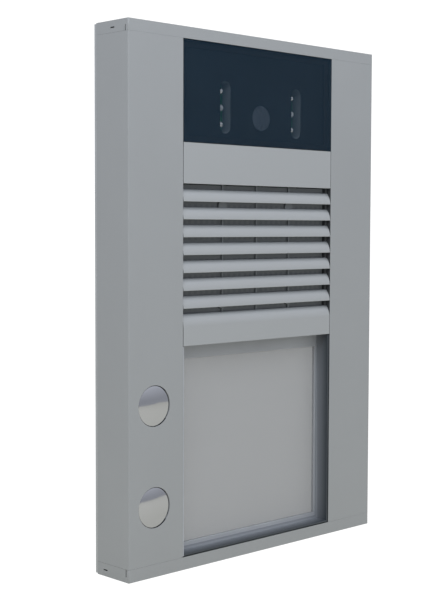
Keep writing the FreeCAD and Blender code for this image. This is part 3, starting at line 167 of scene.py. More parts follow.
class Bench:
    """Blender's own modelling operators, wrapped so that each works on one piece alone."""

    @staticmethod
    def take(piece: Piece) -> None:
        """Select one piece and nothing else."""
        bpy.ops.object.select_all(action="DESELECT")
        piece.select_set(True)
        bpy.context.view_layer.objects.active = piece

    @staticmethod
    def name_new(name: str) -> Piece:
        """Name the primitive that was just added and settle its place into its mesh.

        Args:
            name: The piece's name.

        Returns:
            The piece.
        """
        piece = bpy.context.object
        piece.name = piece.data.name = name
        bpy.ops.object.transform_apply(location=True, rotation=True, scale=True)
        return piece

    @classmethod
    def block(cls, name: str, low: Sequence[float], high: Sequence[float]) -> Piece:
        """Add a block between two corners.

        Args:
            name: The piece's name.
            low: Lowest corner.
            high: Highest corner.

        Returns:
            The block, at the origin with its place in its mesh.
        """
        span = Span(Vector(low), Vector(high))
        bpy.ops.object.select_all(action="DESELECT")
        bpy.ops.mesh.primitive_cube_add(size=1, location=span.middle, scale=span.size)
        return cls.name_new(name)

    @classmethod
    @contextmanager
    def editing(cls, piece: Piece) -> Iterator[None]:
        """Open a piece in edit mode with nothing selected, and close it again."""
        cls.take(piece)
        bpy.ops.object.mode_set(mode="EDIT")
        bpy.ops.mesh.select_mode(type="VERT")
        bpy.ops.mesh.select_all(action="DESELECT")
        yield
        bpy.ops.object.mode_set(mode="OBJECT")

    @staticmethod
    def pick_faces(piece: Piece, wanted: Place) -> None:
        """Select the faces whose centre and normal pass a test.

        Args:
            piece: The piece in edit mode.
            wanted: The test, given a face's centre and its normal.
        """
        bpy.ops.mesh.select_mode(type="FACE")
        mesh = bmesh.from_edit_mesh(piece.data)
        for face in mesh.faces:
            face.select_set(wanted(face.calc_center_median(), face.normal))
        bmesh.update_edit_mesh(piece.data)

    @staticmethod
    def pick_edges(piece: Piece, wanted: Place) -> None:
        """Select the edges whose two ends pass a test.

        Args:
            piece: The piece in edit mode.
            wanted: The test, given the edge's two ends.
        """
        bpy.ops.mesh.select_mode(type="EDGE")
        mesh = bmesh.from_edit_mesh(piece.data)
        for edge in mesh.edges:
            edge.select_set(wanted(edge.verts[0].co, edge.verts[1].co))
        bmesh.update_edit_mesh(piece.data)

    @staticmethod
    def extrude(move: Sequence[float]) -> None:
        """Extrude what is selected along a straight way."""
        bpy.ops.mesh.extrude_region_move(TRANSFORM_OT_translate={"value": tuple(move)})

    @classmethod
    def close_up(cls, piece: Piece) -> None:
        """Merge a piece's doubles and turn its faces outwards.

        Args:
            piece: The piece.
        """
        with cls.editing(piece):
            bpy.ops.mesh.select_all(action="SELECT")
            bpy.ops.mesh.remove_doubles(threshold=WELD / 2)
            bpy.ops.mesh.normals_make_consistent(inside=False)

    @classmethod
    def modify(cls, piece: Piece, kind: str, **settings: object) -> None:
        """Add a modifier with its settings and apply it.

        Args:
            piece: The piece that is changed.
            kind: Blender's name of the modifier's type.
            settings: The modifier's values by name.
        """
        cls.take(piece)
        modifier = piece.modifiers.new(kind.title(), kind)
        for name, value in settings.items():
            setattr(modifier, name, value)
        bpy.ops.object.modifier_apply(modifier=modifier.name)

    @classmethod
    def shade(cls, piece: Piece, angle: float) -> None:
        """Shade a piece smooth, except across edges sharper than an angle in degrees."""
        cls.take(piece)
        bpy.ops.object.shade_smooth_by_angle(angle=math.radians(angle))

    @classmethod
    def soften(cls, piece: Piece, width: float, angle: float = 35, steps: int = 3) -> None:
        """Round every hard edge of a piece and shade it smooth between the remaining ones.

        Args:
            piece: The piece that is rounded.
            width: How far the rounding reaches from the edge.
            angle: The least angle of a hard edge, in degrees.
            steps: The number of faces across the rounding.
        """
        cls.modify(piece, "BEVEL", width=width, segments=steps, limit_method="ANGLE",
                   angle_limit=math.radians(angle))
        cls.shade(piece, angle)
        cls.modify(piece, "WEIGHTED_NORMAL", keep_sharp=True)

    @classmethod
    def turned(cls, name: str, foot: Sequence[float], axis: Axis,
               outline: Outline, steps: int = 64) -> Piece:
        """Turn a piece on a lathe: draw its outline point by point, then spin it.

        Args:
            name: The piece's name.
            foot: The point on the axis that lengths count from.
            axis: The direction of the axis.
            outline: Radius and length along the axis of each point.
            steps: The number of faces round the piece.

        Returns:
            The closed piece.
        """
        along = axis.value
        start = Vector(foot)
        points = [start + ACROSS * radius + along * length for radius, length in outline]
        bpy.ops.object.select_all(action="DESELECT")
        bpy.ops.mesh.primitive_plane_add(size=MM, location=points[0])
        piece = cls.name_new(name)
        with cls.editing(piece):
            bpy.ops.mesh.select_all(action="SELECT")
            bpy.ops.mesh.merge(type="CENTER")
            for before, after in zip(points, points[1:]):
                cls.extrude(after - before)
            bpy.ops.mesh.select_all(action="SELECT")
            bpy.ops.mesh.spin(steps=steps, angle=math.tau, center=start, axis=along)
        cls.close_up(piece)
        return piece

    @classmethod
    def joined(cls, name: str, pieces: Sequence[Piece]) -> Piece:
        """Join several pieces into one.

        Args:
            name: The name of the whole.
            pieces: The pieces, at least two.

        Returns:
            The whole.
        """
        cls.take(pieces[0])
        for piece in pieces:
            piece.select_set(True)
        bpy.ops.object.join()
        whole = bpy.context.object
        whole.name = whole.data.name = name
        return whole

    @classmethod
    def copied(cls, piece: Piece, move: Vector) -> Piece:
        """Copy a piece, with its own mesh, to another place.

        Args:
            piece: The piece.
            move: The way from the piece to its copy.

        Returns:
            The copy.
        """
        cls.take(piece)
        bpy.ops.object.duplicate(linked=False)
        copy = bpy.context.object
        copy.location = move
        bpy.ops.object.transform_apply(location=True, rotation=False, scale=False)
        return copy

    @classmethod
    def carved(cls, piece: Piece, tool: Piece) -> None:
        """Cut one piece out of another and throw the tool away."""
        cls.modify(piece, "BOOLEAN", operation="DIFFERENCE", solver="EXACT", object=tool)
        bpy.data.objects.remove(tool)

    @staticmethod
    def mark(piece: Piece, wanted: Place) -> None:
        """Give the faces whose centre and normal pass a test to the piece's second finish."""
        for face in piece.data.polygons:
            face.material_index = int(wanted(face.center, face.normal))

    @classmethod
    def welded_copy(cls, node: str, name: str) -> Piece:
        """Copy a solid node as a welded mesh of flat faces.

        Args:
            node: The node that is copied.
            name: The piece's name.

        Returns:
            The piece.
        """
        piece = bpy.data.objects.new(name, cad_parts[node].data.copy())
        piece.data.name = name
        piece.data.materials.clear()
        bpy.context.scene.collection.objects.link(piece)
        with cls.editing(piece):
            bpy.ops.mesh.select_all(action="SELECT")
            bpy.ops.mesh.remove_doubles(threshold=WELD)
            bpy.ops.mesh.dissolve_limited(angle_limit=math.radians(0.5))
        return piece

    @classmethod
    def softened_copy(cls, node: str, name: str, width: float) -> Piece:
        """Copy a solid node and round its hard edges.

        Args:
            node: The node that is copied.
            name: The piece's name.
            width: How far the rounding reaches from each edge.

        Returns:
            The piece.
        """
        piece = cls.welded_copy(node, name)
        cls.soften(piece, width, steps=2)
        return piece


def off_front(centre: Vector, normal: Vector) -> bool:
    """Tell whether a face is one that doesn't look out of the wall."""
    return normal.y > -0.3


def dome(radius: float, rise: float, reach: float, steps: int) -> Outline:
    """Draw the outline of a shallow dome from its top outwards.

    Args:
        radius: The dome's radius.
        rise: Its height.
        reach: How far out it is drawn.
        steps: The number of lengths that it is drawn in.

    Returns:
        Radius and depth of each point.
    """
    ball = (radius * radius + rise * rise) / (2 * rise)
    places = [reach * step / steps for step in range(steps + 1)]
    return [(place, ball - math.sqrt(ball * ball - place * place)) for place in places]


# ---- Finishes ----


class Graph:
    """Adds and joins shader nodes."""

    def __init__(self, tree: bpy.types.NodeTree) -> None:
        """Work on one tree of nodes."""
        self.tree = tree

    def add(self, kind: str, inputs: dict[str | int, object] | None = None,
            **settings: object) -> bpy.types.ShaderNode:
        """Add a node.

        Args:
            kind: Blender's name of the node's type.
            inputs: Values or sockets for the node's inputs, by name or number.
            settings: The node's own properties.

        Returns:
            The node.
        """
        node = self.tree.nodes.new(kind)
        for name, value in settings.items():
            setattr(node, name, value)
        for name, value in (inputs or {}).items():
            if isinstance(value, Socket):
                self.tree.links.new(value, node.inputs[name])
            else:
                node.inputs[name].default_value = value
        return node

    def ramp(self, value: Socket, ends: tuple[float, float],
             results: tuple[float, float]) -> Socket:
        """Map a value from one range to another, and hold it at the ends.

        Args:
            value: The value.
            ends: The range that it comes in.
            results: The range that it is mapped to.

        Returns:
            The mapped value.
        """
        return self.add("ShaderNodeMapRange", {
            "Value": value, "From Min": ends[0], "From Max": ends[1],
            "To Min": results[0], "To Max": results[1]}).outputs["Result"]

    def split_by_ray(self, seen: bpy.types.ShaderNode, other: bpy.types.ShaderNode) -> Socket:
        """Show one shader to the camera and another to everything else.

        Args:
            seen: What the camera sees.
            other: What lights the scene and is mirrored in it.

        Returns:
            The shader for both.
        """
        rays = self.add("ShaderNodeLightPath").outputs["Is Camera Ray"]
        return self.add("ShaderNodeMixShader", {0: rays, 1: other.outputs[0],
                                                2: seen.outputs[0]}).outputs[0]


class SurfaceGraph(Graph):
    """The shader nodes of one material, round a principled surface."""

    def __init__(self, name: str) -> None:
        """Start a material with a bare principled surface.

        Args:
            name: The material's name.
        """
        self.material = bpy.data.materials.new(name)
        self.material.use_nodes = True
        super().__init__(self.material.node_tree)
        self.surface = self.tree.nodes["Principled BSDF"]
        self.place = self.add("ShaderNodeTexCoord").outputs["Object"]

    def noise(self, scale: float, detail: float, stretch: Sequence[float] = (1, 1, 1)) -> Socket:
        """Add a noise pattern.

        Args:
            scale: Grains per metre.
            detail: The number of finer layers.
            stretch: A factor for each axis.

        Returns:
            The pattern, from 0 to 1.
        """
        place = self.add("ShaderNodeMapping", {"Vector": self.place, "Scale": tuple(stretch)})
        return self.add("ShaderNodeTexNoise", {"Vector": place.outputs["Vector"],
                                               "Scale": scale, "Detail": detail}).outputs["Fac"]

    def blend(self, factor: Socket, first: "Tint", second: "Tint",
              ends: tuple[float, float] = (0.3, 0.7)) -> Socket:
        """Blend two colours by a pattern.

        Args:
            factor: The pattern.
            first: The colour where it is low.
            second: The colour where it is high.
            ends: The pattern's values where each colour is pure.

        Returns:
            The colour.
        """
        ramp = self.add("ShaderNodeValToRGB", {"Fac": factor})
        for element, colour, at in zip(ramp.color_ramp.elements, (first, second), ends):
            element.position = at
            element.color = colour.rgba
        return ramp.outputs["Color"]

    def set(self, **values: object) -> None:
        """Set inputs of the surface.

        Args:
            values: Values or sockets by input, with an underscore for each space.
        """
        for name, value in values.items():
            socket = self.surface.inputs[name.replace("_", " ")]
            if isinstance(value, Socket):
                self.tree.links.new(value, socket)
            else:
                socket.default_value = value

    def emboss(self, height: Socket, depth: float, strength: float = 1) -> None:
        """Raise the surface by a pattern.

        Args:
            height: The pattern.
            depth: How high it stands, in metres.
            strength: How strongly it shows.
        """
        bump = self.add("ShaderNodeBump", {"Height": height, "Distance": depth,
                                           "Strength": strength})
        self.set(Normal=bump.outputs["Normal"])


@dataclass(frozen=True)
class Tint:
    """A colour in linear light, each part from 0 to 1."""

    red: float
    green: float
    blue: float

    @property
    def rgba(self) -> tuple[float, float, float, float]:
        """The colour as shader sockets take it."""
        return (self.red, self.green, self.blue, 1)

    def shaded(self, factor: float) -> "Tint":
        """The same colour, lighter or darker by a factor."""
        return Tint(self.red * factor, self.green * factor, self.blue * factor)


class Grain(Enum):
    """How a surface feels: grains per metre, stretch along each axis, and height in metres."""

    POWDER = (2600, (1, 1, 1), 0.000020)
    SPARK = (4200, (1, 1, 1), 0.000015)
    BRUSHED = (1500, (0.05, 1, 1), 0.000004)
    CAST = (1100, (1, 1, 1), 0.000060)
    FOAM = (1800, (1, 1, 1), 0.000120)
    FIBRE = (1400, (1, 1, 0.25), 0.000010)
    SMOOTH = (300, (1, 1, 1), 0.000002)


@dataclass(frozen=True)
class Finish:
    """A plain, slightly uneven surface, and the ground for the other finishes.

    Attributes:
        name: The finish's name.
        colour: Its colour.
        roughness: How dull it is.
        grain: How it feels.
        metal: How metallic it is.
        clouding: How much its colour drifts from place to place.
    """

    name: str
    colour: Tint
    roughness: float = 0.5
    grain: Grain = Grain.SPARK
    metal: float = 0.0
    clouding: float = 0.06

    def make(self) -> bpy.types.Material:
        """Make the material.

        Returns:
            The material.
        """
        graph = SurfaceGraph(self.name)
        scale, stretch, height = self.grain.value
        fine = graph.noise(scale, 2, stretch)
        drift = graph.noise(38, 4)
        graph.set(
            Base_Color=graph.blend(drift, self.colour.shaded(1 - self.clouding),
                                   self.colour.shaded(1 + self.clouding)),
            Roughness=graph.ramp(fine, (0.25, 0.75),
                                 (self.roughness * 0.9, self.roughness * 1.1)),
            Metallic=self.metal,
        )
        graph.emboss(fine, height, 0.6)
        self.enrich(graph)
        return graph.material

    def enrich(self, graph: SurfaceGraph) -> None:
        """Add what makes this finish its own; a plain surface adds nothing."""


@dataclass(frozen=True)
class ClearCoat(Finish):
    """A surface under a thin layer of some gloss, such as polished or lacquered metal."""

    gloss: float = 0.5

    def enrich(self, graph: SurfaceGraph) -> None:
        """Add the gloss layer."""
        graph.set(Coat_Weight=self.gloss, Coat_Roughness=0.05)


@dataclass(frozen=True)
class Translucent(Finish):
    """Clear or tinted plastic or glass.

    Attributes:
        body: How much of the surface's own colour shows, from 0, clear, to 1, opaque.
        shine: How strongly it mirrors, where 0.5 is bare plastic and less is coated.
    """

    grain: Grain = Grain.SMOOTH
    body: float = 0.5
    shine: float = 0.5

    def enrich(self, graph: SurfaceGraph) -> None:
        """Let part of the light through."""
        graph.set(Alpha=self.body, IOR=1.49, Specular_IOR_Level=self.shine)


@dataclass(frozen=True)
class BacklightWithPaintedGlow(Finish):
    """A sheet that glows evenly: the glow stands for its backlight and also paints out the shade
    that the frame casts on it.
    """

    glow: float = 0.3

    def enrich(self, graph: SurfaceGraph) -> None:
        """Add the glow, which is backlight and painted light in one."""
        graph.set(Emission_Color=(0.97, 0.99, 1, 1), Emission_Strength=self.glow)


@dataclass(frozen=True)
class PaintedDepthShade(Finish):
    """A moulding whose colour changes from its front edge inwards, as painted shade and painted
    bounce light in hollows.

    Attributes:
        inner: The colour deep inside: painted shade in the louvre slots, painted bounce light in
            the name recess.
        ends: The depths where the change starts and ends.
    """

    inner: Tint = Tint(0.1, 0.1, 0.1)
    ends: tuple[float, float] = (0, 7 * MM)

    def enrich(self, graph: SurfaceGraph) -> None:
        """Blend the two colours by the depth under the panel's front face."""
        place = graph.add("ShaderNodeSeparateXYZ", {"Vector": graph.place}).outputs["Y"]
        start, end = (FRONT_FACE + depth for depth in self.ends)
        deep = graph.ramp(place, (start, end), (0, 1))
        graph.set(Base_Color=graph.blend(deep, self.colour, self.inner, (0, 1)))


@dataclass(frozen=True)
class CircuitBoard(Finish):
    """Solder mask with copper tracks, which show through it in a colour of their own."""

    track: Tint = Tint(0.05, 0.22, 0.09)

    def enrich(self, graph: SurfaceGraph) -> None:
        """Lay the tracks as the edges of a grid of cells.

        Args:
            graph: The material's nodes.
        """
        cells = graph.add("ShaderNodeTexVoronoi", {"Vector": graph.place, "Scale": 260.0},
                          feature="DISTANCE_TO_EDGE", distance="CHEBYCHEV")
        lines = graph.blend(cells.outputs["Distance"], self.track, self.colour, (0.03, 0.06))
        graph.set(Base_Color=lines, Coat_Weight=0.3)


@dataclass(frozen=True)
class Woven(Finish):
    """A cloth or wire weave, with its pitch in threads per metre."""

    pitch: float = 1800

    def enrich(self, graph: SurfaceGraph) -> None:
        """Raise the threads of both directions.

        Args:
            graph: The material's nodes.
        """
        threads = [graph.add("ShaderNodeTexWave",
                             {"Vector": graph.place, "Scale": self.pitch / WAVES_PER_SCALE},
                             bands_direction=direction).outputs["Fac"]
                   for direction in ("X", "Z")]
        weave = graph.add("ShaderNodeMath", {0: threads[0], 1: threads[1]}, operation="MAXIMUM")
        height = weave.outputs[0]
        graph.set(Base_Color=graph.blend(height, self.colour.shaded(0.85), self.colour))
        graph.emboss(height, 0.04 * MM)


SILVER = Tint(0.23, 0.237, 0.24)
# Dark grey of the dust mesh, also used as the painted shade deep in the louvre slots.
DUST_MESH_AND_SLOT_SHADE = Tint(0.105, 0.115, 0.122)

FINISHES: dict[str, Finish] = {
    "silver_paint": Finish("satin_silver_powder_coat", SILVER, 0.55, Grain.POWDER, 0.12, 0.012),
    # The louvres: a lighter copy of the housing's silver, as painted light, fading from 0.9 mm
    # deep to dark grey, as painted shade in the slots.
    "silver_grille": PaintedDepthShade("satin_silver_louvres_painted_light_and_shade", SILVER.shaded(1.1), 0.55, Grain.POWDER,
        0.1, 0.012, inner=DUST_MESH_AND_SLOT_SHADE.shaded(1.2), ends=(0.9 * MM, 2.5 * MM)),
    "smoked_pane": Translucent("smoked_acrylic", Tint(0.008, 0.022, 0.038), 0.06,
        body=0.5, shine=0.05),
    "pane_inside": Translucent("smoked_acrylic_inside", Tint(0.01, 0.02, 0.03), 0.1,
        body=0.04, shine=0.1),
    "black_foam": Finish("black_foam", Tint(0.012, 0.012, 0.013), 0.95, Grain.FOAM),
    "black_plastic": Finish("black_abs", Tint(0.014, 0.015, 0.017), 0.5),
    "bezel_black": Finish("matt_black_moulding", Tint(0.006, 0.008, 0.01), 0.85),
    "grey_plastic": Finish("grey_abs", Tint(0.26, 0.27, 0.285), 0.5),
    # The name recess's walls: painted shade, darkest at the front edge and lightening inwards as
    # painted light bounced from the cover.
    "recess_side": PaintedDepthShade("grey_abs_painted_recess_shade", Tint(0.024, 0.03, 0.036), 0.5,
        inner=Tint(0.15, 0.16, 0.175), ends=(0.8 * MM, 7.8 * MM)),
    "natural_plastic": Finish("natural_acetal", Tint(0.62, 0.61, 0.56), 0.45),
    "cast_alloy": Finish("blasted_die_casting", Tint(0.36, 0.37, 0.38), 0.55, Grain.CAST, 0.6,
        0.08),
    "screw_steel": Finish("zinc_plated_steel", Tint(0.55, 0.56, 0.58), 0.3, Grain.BRUSHED, 1.0),
    "button_steel": ClearCoat("polished_steel", Tint(0.37, 0.375, 0.395), 0.1, Grain.SMOOTH, 1.0,
        0.01, gloss=0.0),
    "spring_steel": Finish("spring_wire", Tint(0.5, 0.5, 0.52), 0.25, Grain.BRUSHED, 1.0),
    "board_green": CircuitBoard("green_board", Tint(0.02, 0.12, 0.05), 0.35),
    "chip_black": Finish("moulded_epoxy", Tint(0.02, 0.02, 0.022), 0.5),
    "terminal_green": Finish("green_terminal_plastic", Tint(0.03, 0.3, 0.09), 0.4),
    "lens_glass": ClearCoat("coated_lens_glass", Tint(0.09, 0.12, 0.17), 0.06, Grain.SMOOTH,
        0.0, gloss=0.5),
    "lens_shield": Translucent("coated_shield", Tint(0.11, 0.13, 0.16), 0.2, body=0.6, shine=0.5),
    "lamp_clear": ClearCoat("clear_lamp_resin", Tint(0.9, 0.92, 0.94), 0.08, Grain.SMOOTH,
        0.85, gloss=1.0),
    "lamp_shade": Finish("lamp_shade_plastic", Tint(0.15, 0.165, 0.18), 0.55),
    "mesh_black": Woven("black_dust_mesh", DUST_MESH_AND_SLOT_SHADE, 0.6),
    # Dark colour for the sides where parts meet, as painted shade of the seams and of the slots'
    # ends.
    "dark_side": Finish("painted_seam_shade", Tint(0.03, 0.033, 0.036), 0.6),
    "cone_paper": Finish("black_cone_paper", Tint(0.03, 0.03, 0.03), 0.85, Grain.FIBRE),
    "magnet_dark": Finish("ferrite", Tint(0.05, 0.05, 0.055), 0.6, Grain.CAST),
    "rubber_black": Finish("black_rubber", Tint(0.018, 0.018, 0.018), 0.75, Grain.SPARK),
    "capsule_metal": Finish("capsule_can", Tint(0.6, 0.6, 0.6), 0.3, Grain.BRUSHED, 1.0),
    "cover_clear": Translucent("satin_clear_acrylic", Tint(0.21, 0.214, 0.216), 0.45,
        body=0.5, shine=0.3, clouding=0.01),
    "cover_inside": Translucent("clear_acrylic_inside", Tint(0.4, 0.4, 0.4), 0.4,
        body=0.05, shine=0.1, clouding=0.01),
    # The card's glow is partly its backlight, partly painted light that evens out the frame's
    # shade.
    "card_white": BacklightWithPaintedGlow("matt_white_card", Tint(0.2, 0.2, 0.2), 0.9, Grain.FIBRE, 0.0, 0.01,
        glow=0.28),
    "diffuser_opal": Finish("opal_acrylic", Tint(0.8, 0.8, 0.78), 0.35, Grain.SMOOTH),
    # The middle lamps' dull grey paints their weaker glint, where the end lamps mirror the room.
    "lamp_dim": Finish("smoked_lamp_resin", Tint(0.55, 0.57, 0.6), 0.3, Grain.SMOOTH),
}


class Workshop:
    """Makes each finish once, and gives it to nodes and pieces."""

    def __init__(self) -> None:
        """Make all the finishes."""
        self.materials = {slot: finish.make() for slot, finish in FINISHES.items()}

    def dress_nodes(self) -> None:
        """Give every solid node the finish of its material slot."""
        for name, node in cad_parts.items():
            for holder in node.material_slots:
                slot = holder.material.name.split(".")[0]
                holder.material = self.materials[slot]
            LOG.info("node %s dressed", name)

    def deliver(self, piece: Piece, slot: str, node: str, body: str = "panel",
                finish: str | None = None, second: str | None = None) -> None:
        """Dress a finished piece, tie it to its body and report it.

        Args:
            piece: The piece.
            slot: The material slot that it belongs to.
            node: The node that it stands for, alone or with other pieces.
            body: The body that it rides on.
            finish: Its finish, where that isn't the slot's own.
            second: The finish of the faces that are marked for it.
        """
        marks = [face.material_index for face in piece.data.polygons]
        piece.data.materials.clear()
        piece.data.materials.append(self.materials[finish or slot])
        if second:
            piece.data.materials.append(self.materials[second])
            piece.data.polygons.foreach_set("material_index", marks)
        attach(piece, body)
        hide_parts(node)
        LOG.info("piece %s: %d faces on %s", piece.name, len(piece.data.polygons), body)


@dataclass
class SubAssembly:
    """A group of pieces, with its sizes as fields and the workshop that dresses them."""

    workshop: Workshop


# ---- Fasteners ----


@dataclass
class Screw:
    """A pan-head screw with a cross recess and a threaded shank.

    Attributes:
        head_radius: The head's radius.
        head_height: The head's height.
        shank_radius: The shank's outer radius.
        length: The shank's length under the head.
        countersunk: Whether the head tapers to the shank.
        pitch: The distance from one thread to the next.
    """

    head_radius: float
    head_height: float
    shank_radius: float
    length: float
    countersunk: bool = False
    pitch: float = 0.7 * MM

    def make(self, name: str, top: Vector, axis: Axis) -> Piece:
        """Turn the screw and cut its recess.

        Args:
            name: The screw's name.
            top: The middle of the head's outer face.
            axis: The direction from the head to the tip.

        Returns:
            The screw.
        """
        edge = 0.18 * self.head_height
        outline = [(0, 0), (self.head_radius - edge, 0), (self.head_radius, edge)]
        if not self.countersunk:
            outline.append((self.head_radius, self.head_height))
        core = 0.86 * self.shank_radius
        outline.append((core, self.head_height))
        turns = int(self.length / self.pitch) - 1
        for turn in range(turns):
            start = self.head_height + (turn + 0.25) * self.pitch
            outline += [(core, start), (self.shank_radius, start + self.pitch * 0.35),
                        (core, start + self.pitch * 0.7)]
        end = self.head_height + self.length
        outline += [(core, end - self.pitch / 2), (0.5 * core, end), (0, end)]
        screw = Bench.turned(name, top, axis, outline, steps=24)
        self.cut_recess(screw, top, axis)
        Bench.shade(screw, 32)
        return screw

    def cut_recess(self, screw: Piece, top: Vector, axis: Axis) -> None:
        """Cut a cross recess into the head.

        Args:
            screw: The screw.
            top: The middle of the head's outer face.
            axis: The direction from the head to the tip.
        """
        along = axis.value
        third = along.cross(ACROSS)
        arm = 0.55 * self.head_radius
        blade = 0.14 * self.head_radius
        deep = 0.5 * self.head_height
        for long_way, short_way in ((ACROSS, third), (third, ACROSS)):
            reach = long_way * arm + short_way * blade
            corners = [top + reach - along * deep, top - reach + along * deep]
            low = [min(corner[way] for corner in corners) for way in range(3)]
            high = [max(corner[way] for corner in corners) for way in range(3)]
            Bench.carved(screw, Bench.block("blade", low, high))


@dataclass
class Fasteners(SubAssembly):
    """Every screw that shows on the panel's ends and back.

    Attributes:
        head_share: The head's height as a share of its radius.
        lock_head: The height of the locking screw's head.
    """

    head_share: float = 0.62
    lock_head: float = 1.5 * MM

    def build(self) -> None:
        """Model each kind of screw once and copy it to its places."""
        self.row("cap_screws", Axis.UP, Axis.DOWN)
        self.row("module_screws", Axis.OUT_OF_WALL, Axis.OUT_OF_WALL)
        self.lock()

    def row(self, node: str, from_low: Axis, from_high: Axis) -> None:
        """Model the screws of one node.

        Args:
            node: The node that holds the screws.
            from_low: The way of the screws in the panel's lower half.
            from_high: The way of the screws in its upper half.
        """
        solids = spans_of_solids(node)
        screws = []
        for axis, keep in ((from_low, lambda z: z < 0), (from_high, lambda z: z >= 0)):
            along = axis.value
            way = [abs(part) for part in along].index(1)
            chosen = [solid for solid in solids if keep(solid.middle.z)]
            first = chosen[0]
            radius = first.size.x / 2
            height = self.head_share * radius
            screw = Screw(radius, height, 0.56 * radius, first.size[way] - height)
            tops = []
            for solid in chosen:
                top = solid.middle.copy()
                top[way] = solid.low[way] if along[way] > 0 else solid.high[way]
                tops.append(top)
            model = screw.make(node, tops[0], axis)
            screws.append(model)
            screws += [Bench.copied(model, top - tops[0]) for top in tops[1:]]
        self.workshop.deliver(Bench.joined(f"{node}_threaded", screws), "screw_steel", node)

    def lock(self) -> None:
        """Model the countersunk screw under the bottom cap."""
        span = span_of("locking_screw")
        radius = span.size.x / 2
        top = Vector((span.middle.x, span.middle.y, span.low.z))
        screw = Screw(radius, self.lock_head, 0.52 * radius, span.size.z - self.lock_head,
                      countersunk=True)
        piece = screw.make("locking_screw_threaded", top, Axis.UP)
        self.workshop.deliver(piece, "screw_steel", "locking_screw")


# ---- Housing ----


@dataclass
class Housing(SubAssembly):
    """The side profiles, end caps, base plate and cable grommet.

    Attributes:
        profile_edge: The rounding of the extruded profiles' edges.
        cap_edge: The rounding of the moulded caps' edges.
        plate_edge: The rounding of the cast plate's and the grommet's edges.
        seat: The thickness of the plate's floor, which the grommet grips.
        bore: The radius of the grommet's hole.
        lip: How far the grommet's inner lip stands out beyond its neck.
        bead: The height of the beads in the grommet's hole.
    """

    profile_edge: float = 0.14 * MM
    cap_edge: float = 0.14 * MM
    plate_edge: float = 0.2 * MM
    seat: float = 1.5 * MM
    bore: float = 4.0 * MM
    lip: float = 1.6 * MM
    bead: float = 0.3 * MM

    def build(self) -> None:
        """Build the housing from the sides inwards."""
        for side, inwards in (("left", 1), ("right", -1)):
            self.painted(f"{side}_profile", f"{side}_extrusion", self.profile_edge,
                         (Vector((inwards, 0, 0)), Vector((0, 0, 1)), Vector((0, 0, -1))))
        for end, inwards in (("top", -1), ("bottom", 1)):
            self.painted(f"{end}_cap", f"{end}_cap_moulding", self.cap_edge,
                         (Vector((0, 0, inwards)),))
        plate = Bench.softened_copy("base_plate", "base_casting", self.plate_edge)
        self.workshop.deliver(plate, "cast_alloy", "base_plate")
        self.grommet()

    def painted(self, node: str, name: str, width: float, joints: Sequence[Vector]) -> None:
        """Soften a painted piece and give the sides that meet its neighbours a dark colour, as
        painted seam shade.

        Args:
            node: The node that the piece stands for.
            name: The piece's name.
            width: The rounding of its edges.
            joints: The ways that its sides with the painted seam shade face.
        """
        piece = Bench.softened_copy(node, name, width)
        front = FRONT_FACE + width
        Bench.mark(piece, lambda centre, normal: centre.y > front
                   and any(normal.dot(way) > 0.7 for way in joints))
        self.workshop.deliver(piece, "silver_paint", node, second="dark_side")

    def grommet(self) -> None:
        """Turn the rubber grommet with a groove for the plate and a beaded inner lip."""
        span = span_of("cable_grommet")
        outer = span.size.x / 2
        neck = outer - self.lip
        deep = span.size.y
        wide = self.bore + self.bead
        inset = 4 / 3 * self.bead
        foot = Vector((span.middle.x, span.high.y, span.middle.z))
        outline = [(wide, 0), (neck, 0), (neck, self.seat), (outer, self.seat), (outer, deep),
                   (wide, deep), (self.bore, deep - inset), (wide, deep / 2),
                   (self.bore, inset), (wide, 0)]
        piece = Bench.turned("cable_grommet_ring", foot, Axis.OUT_OF_WALL, outline)
        Bench.soften(piece, self.plate_edge)
        self.workshop.deliver(piece, "rubber_black", "cable_grommet")


# ---- Camera module ----


